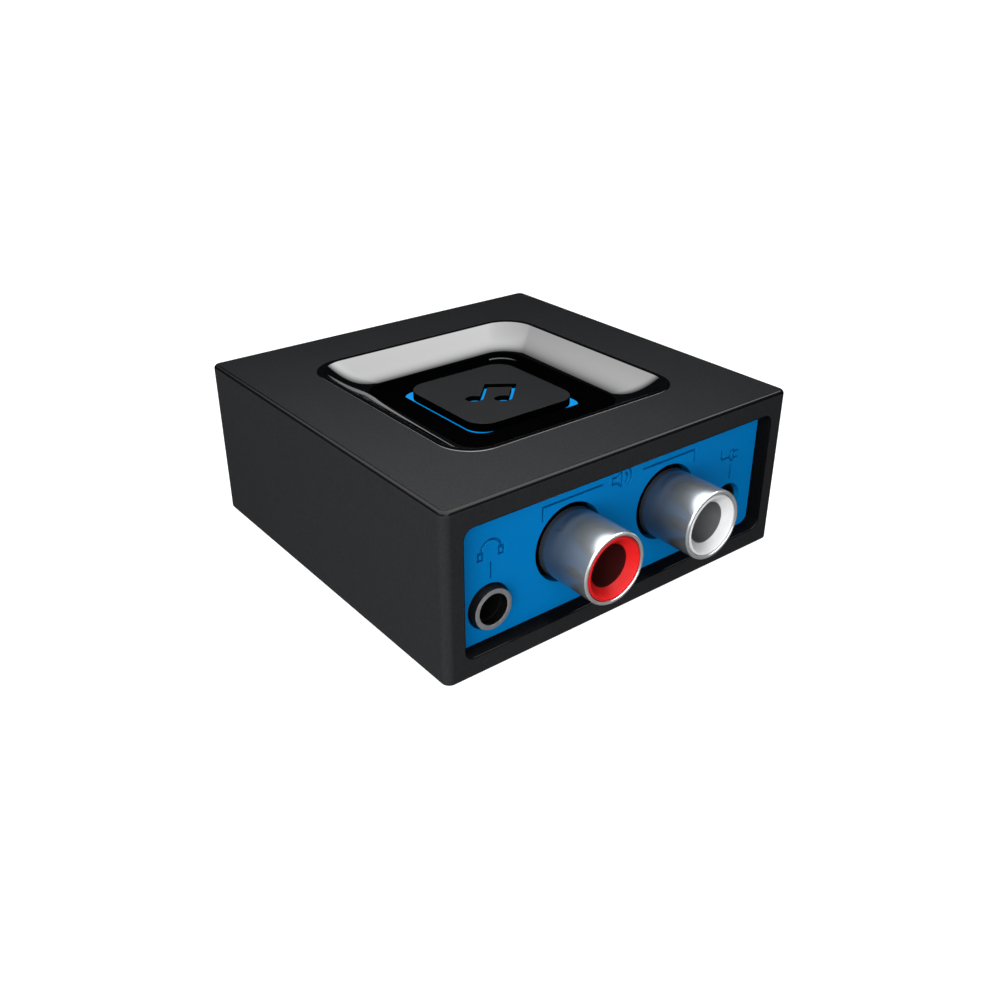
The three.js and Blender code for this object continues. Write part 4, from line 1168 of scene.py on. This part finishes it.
def card(name, material, along, across, height):
    """Glowing panel that only reflections see, set out along and across the camera's heading."""
    obj = flat(name, CARD_WIDE_HALF, CARD_LONG_HALF)
    obj.matrix_world = Matrix.Rotation(VIEW_TURN, 4, "Z") @ Matrix.Translation((across, along, height))
    obj.data.materials.append(material)
    obj.visible_camera = False
    obj.visible_diffuse = False
    obj.visible_shadow = False


def soft_light(name, spot, size, watts, mirrored=True):
    """Round lamp aimed at the object, with or without a reflection of its own."""
    data = bpy.data.lights.new(name, "AREA")
    data.shape = "DISK"
    data.size = size
    data.energy = watts
    obj = bpy.data.objects.new(name, data)
    obj.location = spot
    obj.rotation_euler = (Vector(LIGHT_AIM) - Vector(spot)).to_track_quat("-Z", "Y").to_euler()
    obj.visible_camera = False
    obj.visible_glossy = mirrored
    scene.collection.objects.link(obj)


def pool_light(name, foot, height, radius, watts):
    """Lamp straight above a point, whose light fades out towards the given radius."""
    data = bpy.data.lights.new(name, "SPOT")
    data.energy = watts
    data.shadow_soft_size = POOL_SOFTNESS
    data.spot_size = 2 * math.atan(radius / height)
    data.spot_blend = 1.0
    obj = bpy.data.objects.new(name, data)
    obj.location = (*foot, height)
    obj.visible_glossy = False
    scene.collection.objects.link(obj)


def world():
    """White to the camera, soft grey to diffuse surfaces, dark to reflections."""
    sky = bpy.data.worlds.new("studio")
    scene.world = sky
    sky.use_nodes = True
    nodes, links = sky.node_tree.nodes, sky.node_tree.links
    nodes.clear()
    path = nodes.new("ShaderNodeLightPath")
    levels = {}
    for name, colour, strength in (
        ("camera", WHITE, 1.0), ("diffuse", WHITE, 0.22), ("glossy", SKY_TINT, 0.012),
    ):
        levels[name] = nodes.new("ShaderNodeBackground")
        levels[name].inputs["Color"].default_value = colour
        levels[name].inputs["Strength"].default_value = strength
    glossy = nodes.new("ShaderNodeMixShader")
    seen = nodes.new("ShaderNodeMixShader")
    output = nodes.new("ShaderNodeOutputWorld")
    links.new(path.outputs["Is Glossy Ray"], glossy.inputs["Fac"])
    links.new(levels["diffuse"].outputs[0], glossy.inputs[1])
    links.new(levels["glossy"].outputs[0], glossy.inputs[2])
    links.new(path.outputs["Is Camera Ray"], seen.inputs["Fac"])
    links.new(glossy.outputs[0], seen.inputs[1])
    links.new(levels["camera"].outputs[0], seen.inputs[2])
    links.new(seen.outputs[0], output.inputs["Surface"])


def floor():
    """White ground that neither lights the object nor shows in it."""
    obj = flat("floor", FLOOR_REACH, FLOOR_REACH)
    material = bpy.data.materials.new("floor_white")
    material.use_nodes = True
    finish = material.node_tree.nodes["Principled BSDF"].inputs
    finish["Base Color"].default_value = FLOOR_GREY
    finish["Roughness"].default_value = 0.9
    finish["Emission Color"].default_value = WHITE
    finish["Emission Strength"].default_value = 0.98
    obj.data.materials.append(material)
    obj.visible_glossy = False
    obj.visible_diffuse = False


def studio():
    """View transform, white surroundings, the card and the lamps."""
    scene.view_settings.view_transform = "Standard"
    scene.view_settings.look = "None"
    world()
    floor()
    glow = graded_glow("card_glow", left=3.2, right=7.2, fade_from=0.60, far_level=0.16)
    card("card_top", glow, along=0.07, across=-0.18, height=0.52)
    soft_light("front", (-0.19, -0.41, 0.15), size=0.36, watts=1.15)
    soft_light("side", (-0.37, -0.10, 0.045), size=0.50, watts=3.0, mirrored=False)
    soft_light("rear", (0.30, 0.32, 0.03), size=0.30, watts=1.6, mirrored=False)
    pool_light("pool", (-0.030, -0.034), height=0.40, radius=0.064, watts=15.2)


# ---------------------------------------------------------------- assembly

camera()
for node, material in CAD_FINISH.items():
    slots = frame["nodes"][node].data.materials
    slots.clear()
    slots.append(material)
housing()
base()
for corner in CORNERS:
    foot(corner)
    screw(corner)
panel()
phono_barrel("red")
phono_insert("red", INSERT_RED, RED_BORE_SHADE, "insert_red")
phono_barrel("white")
phono_insert("white", INSERT_WHITE, WHITE_BORE_SHADE, "insert_white")
aux_socket()
power_socket()
dish()
button()
light_guide()
snap_dome()
studio()
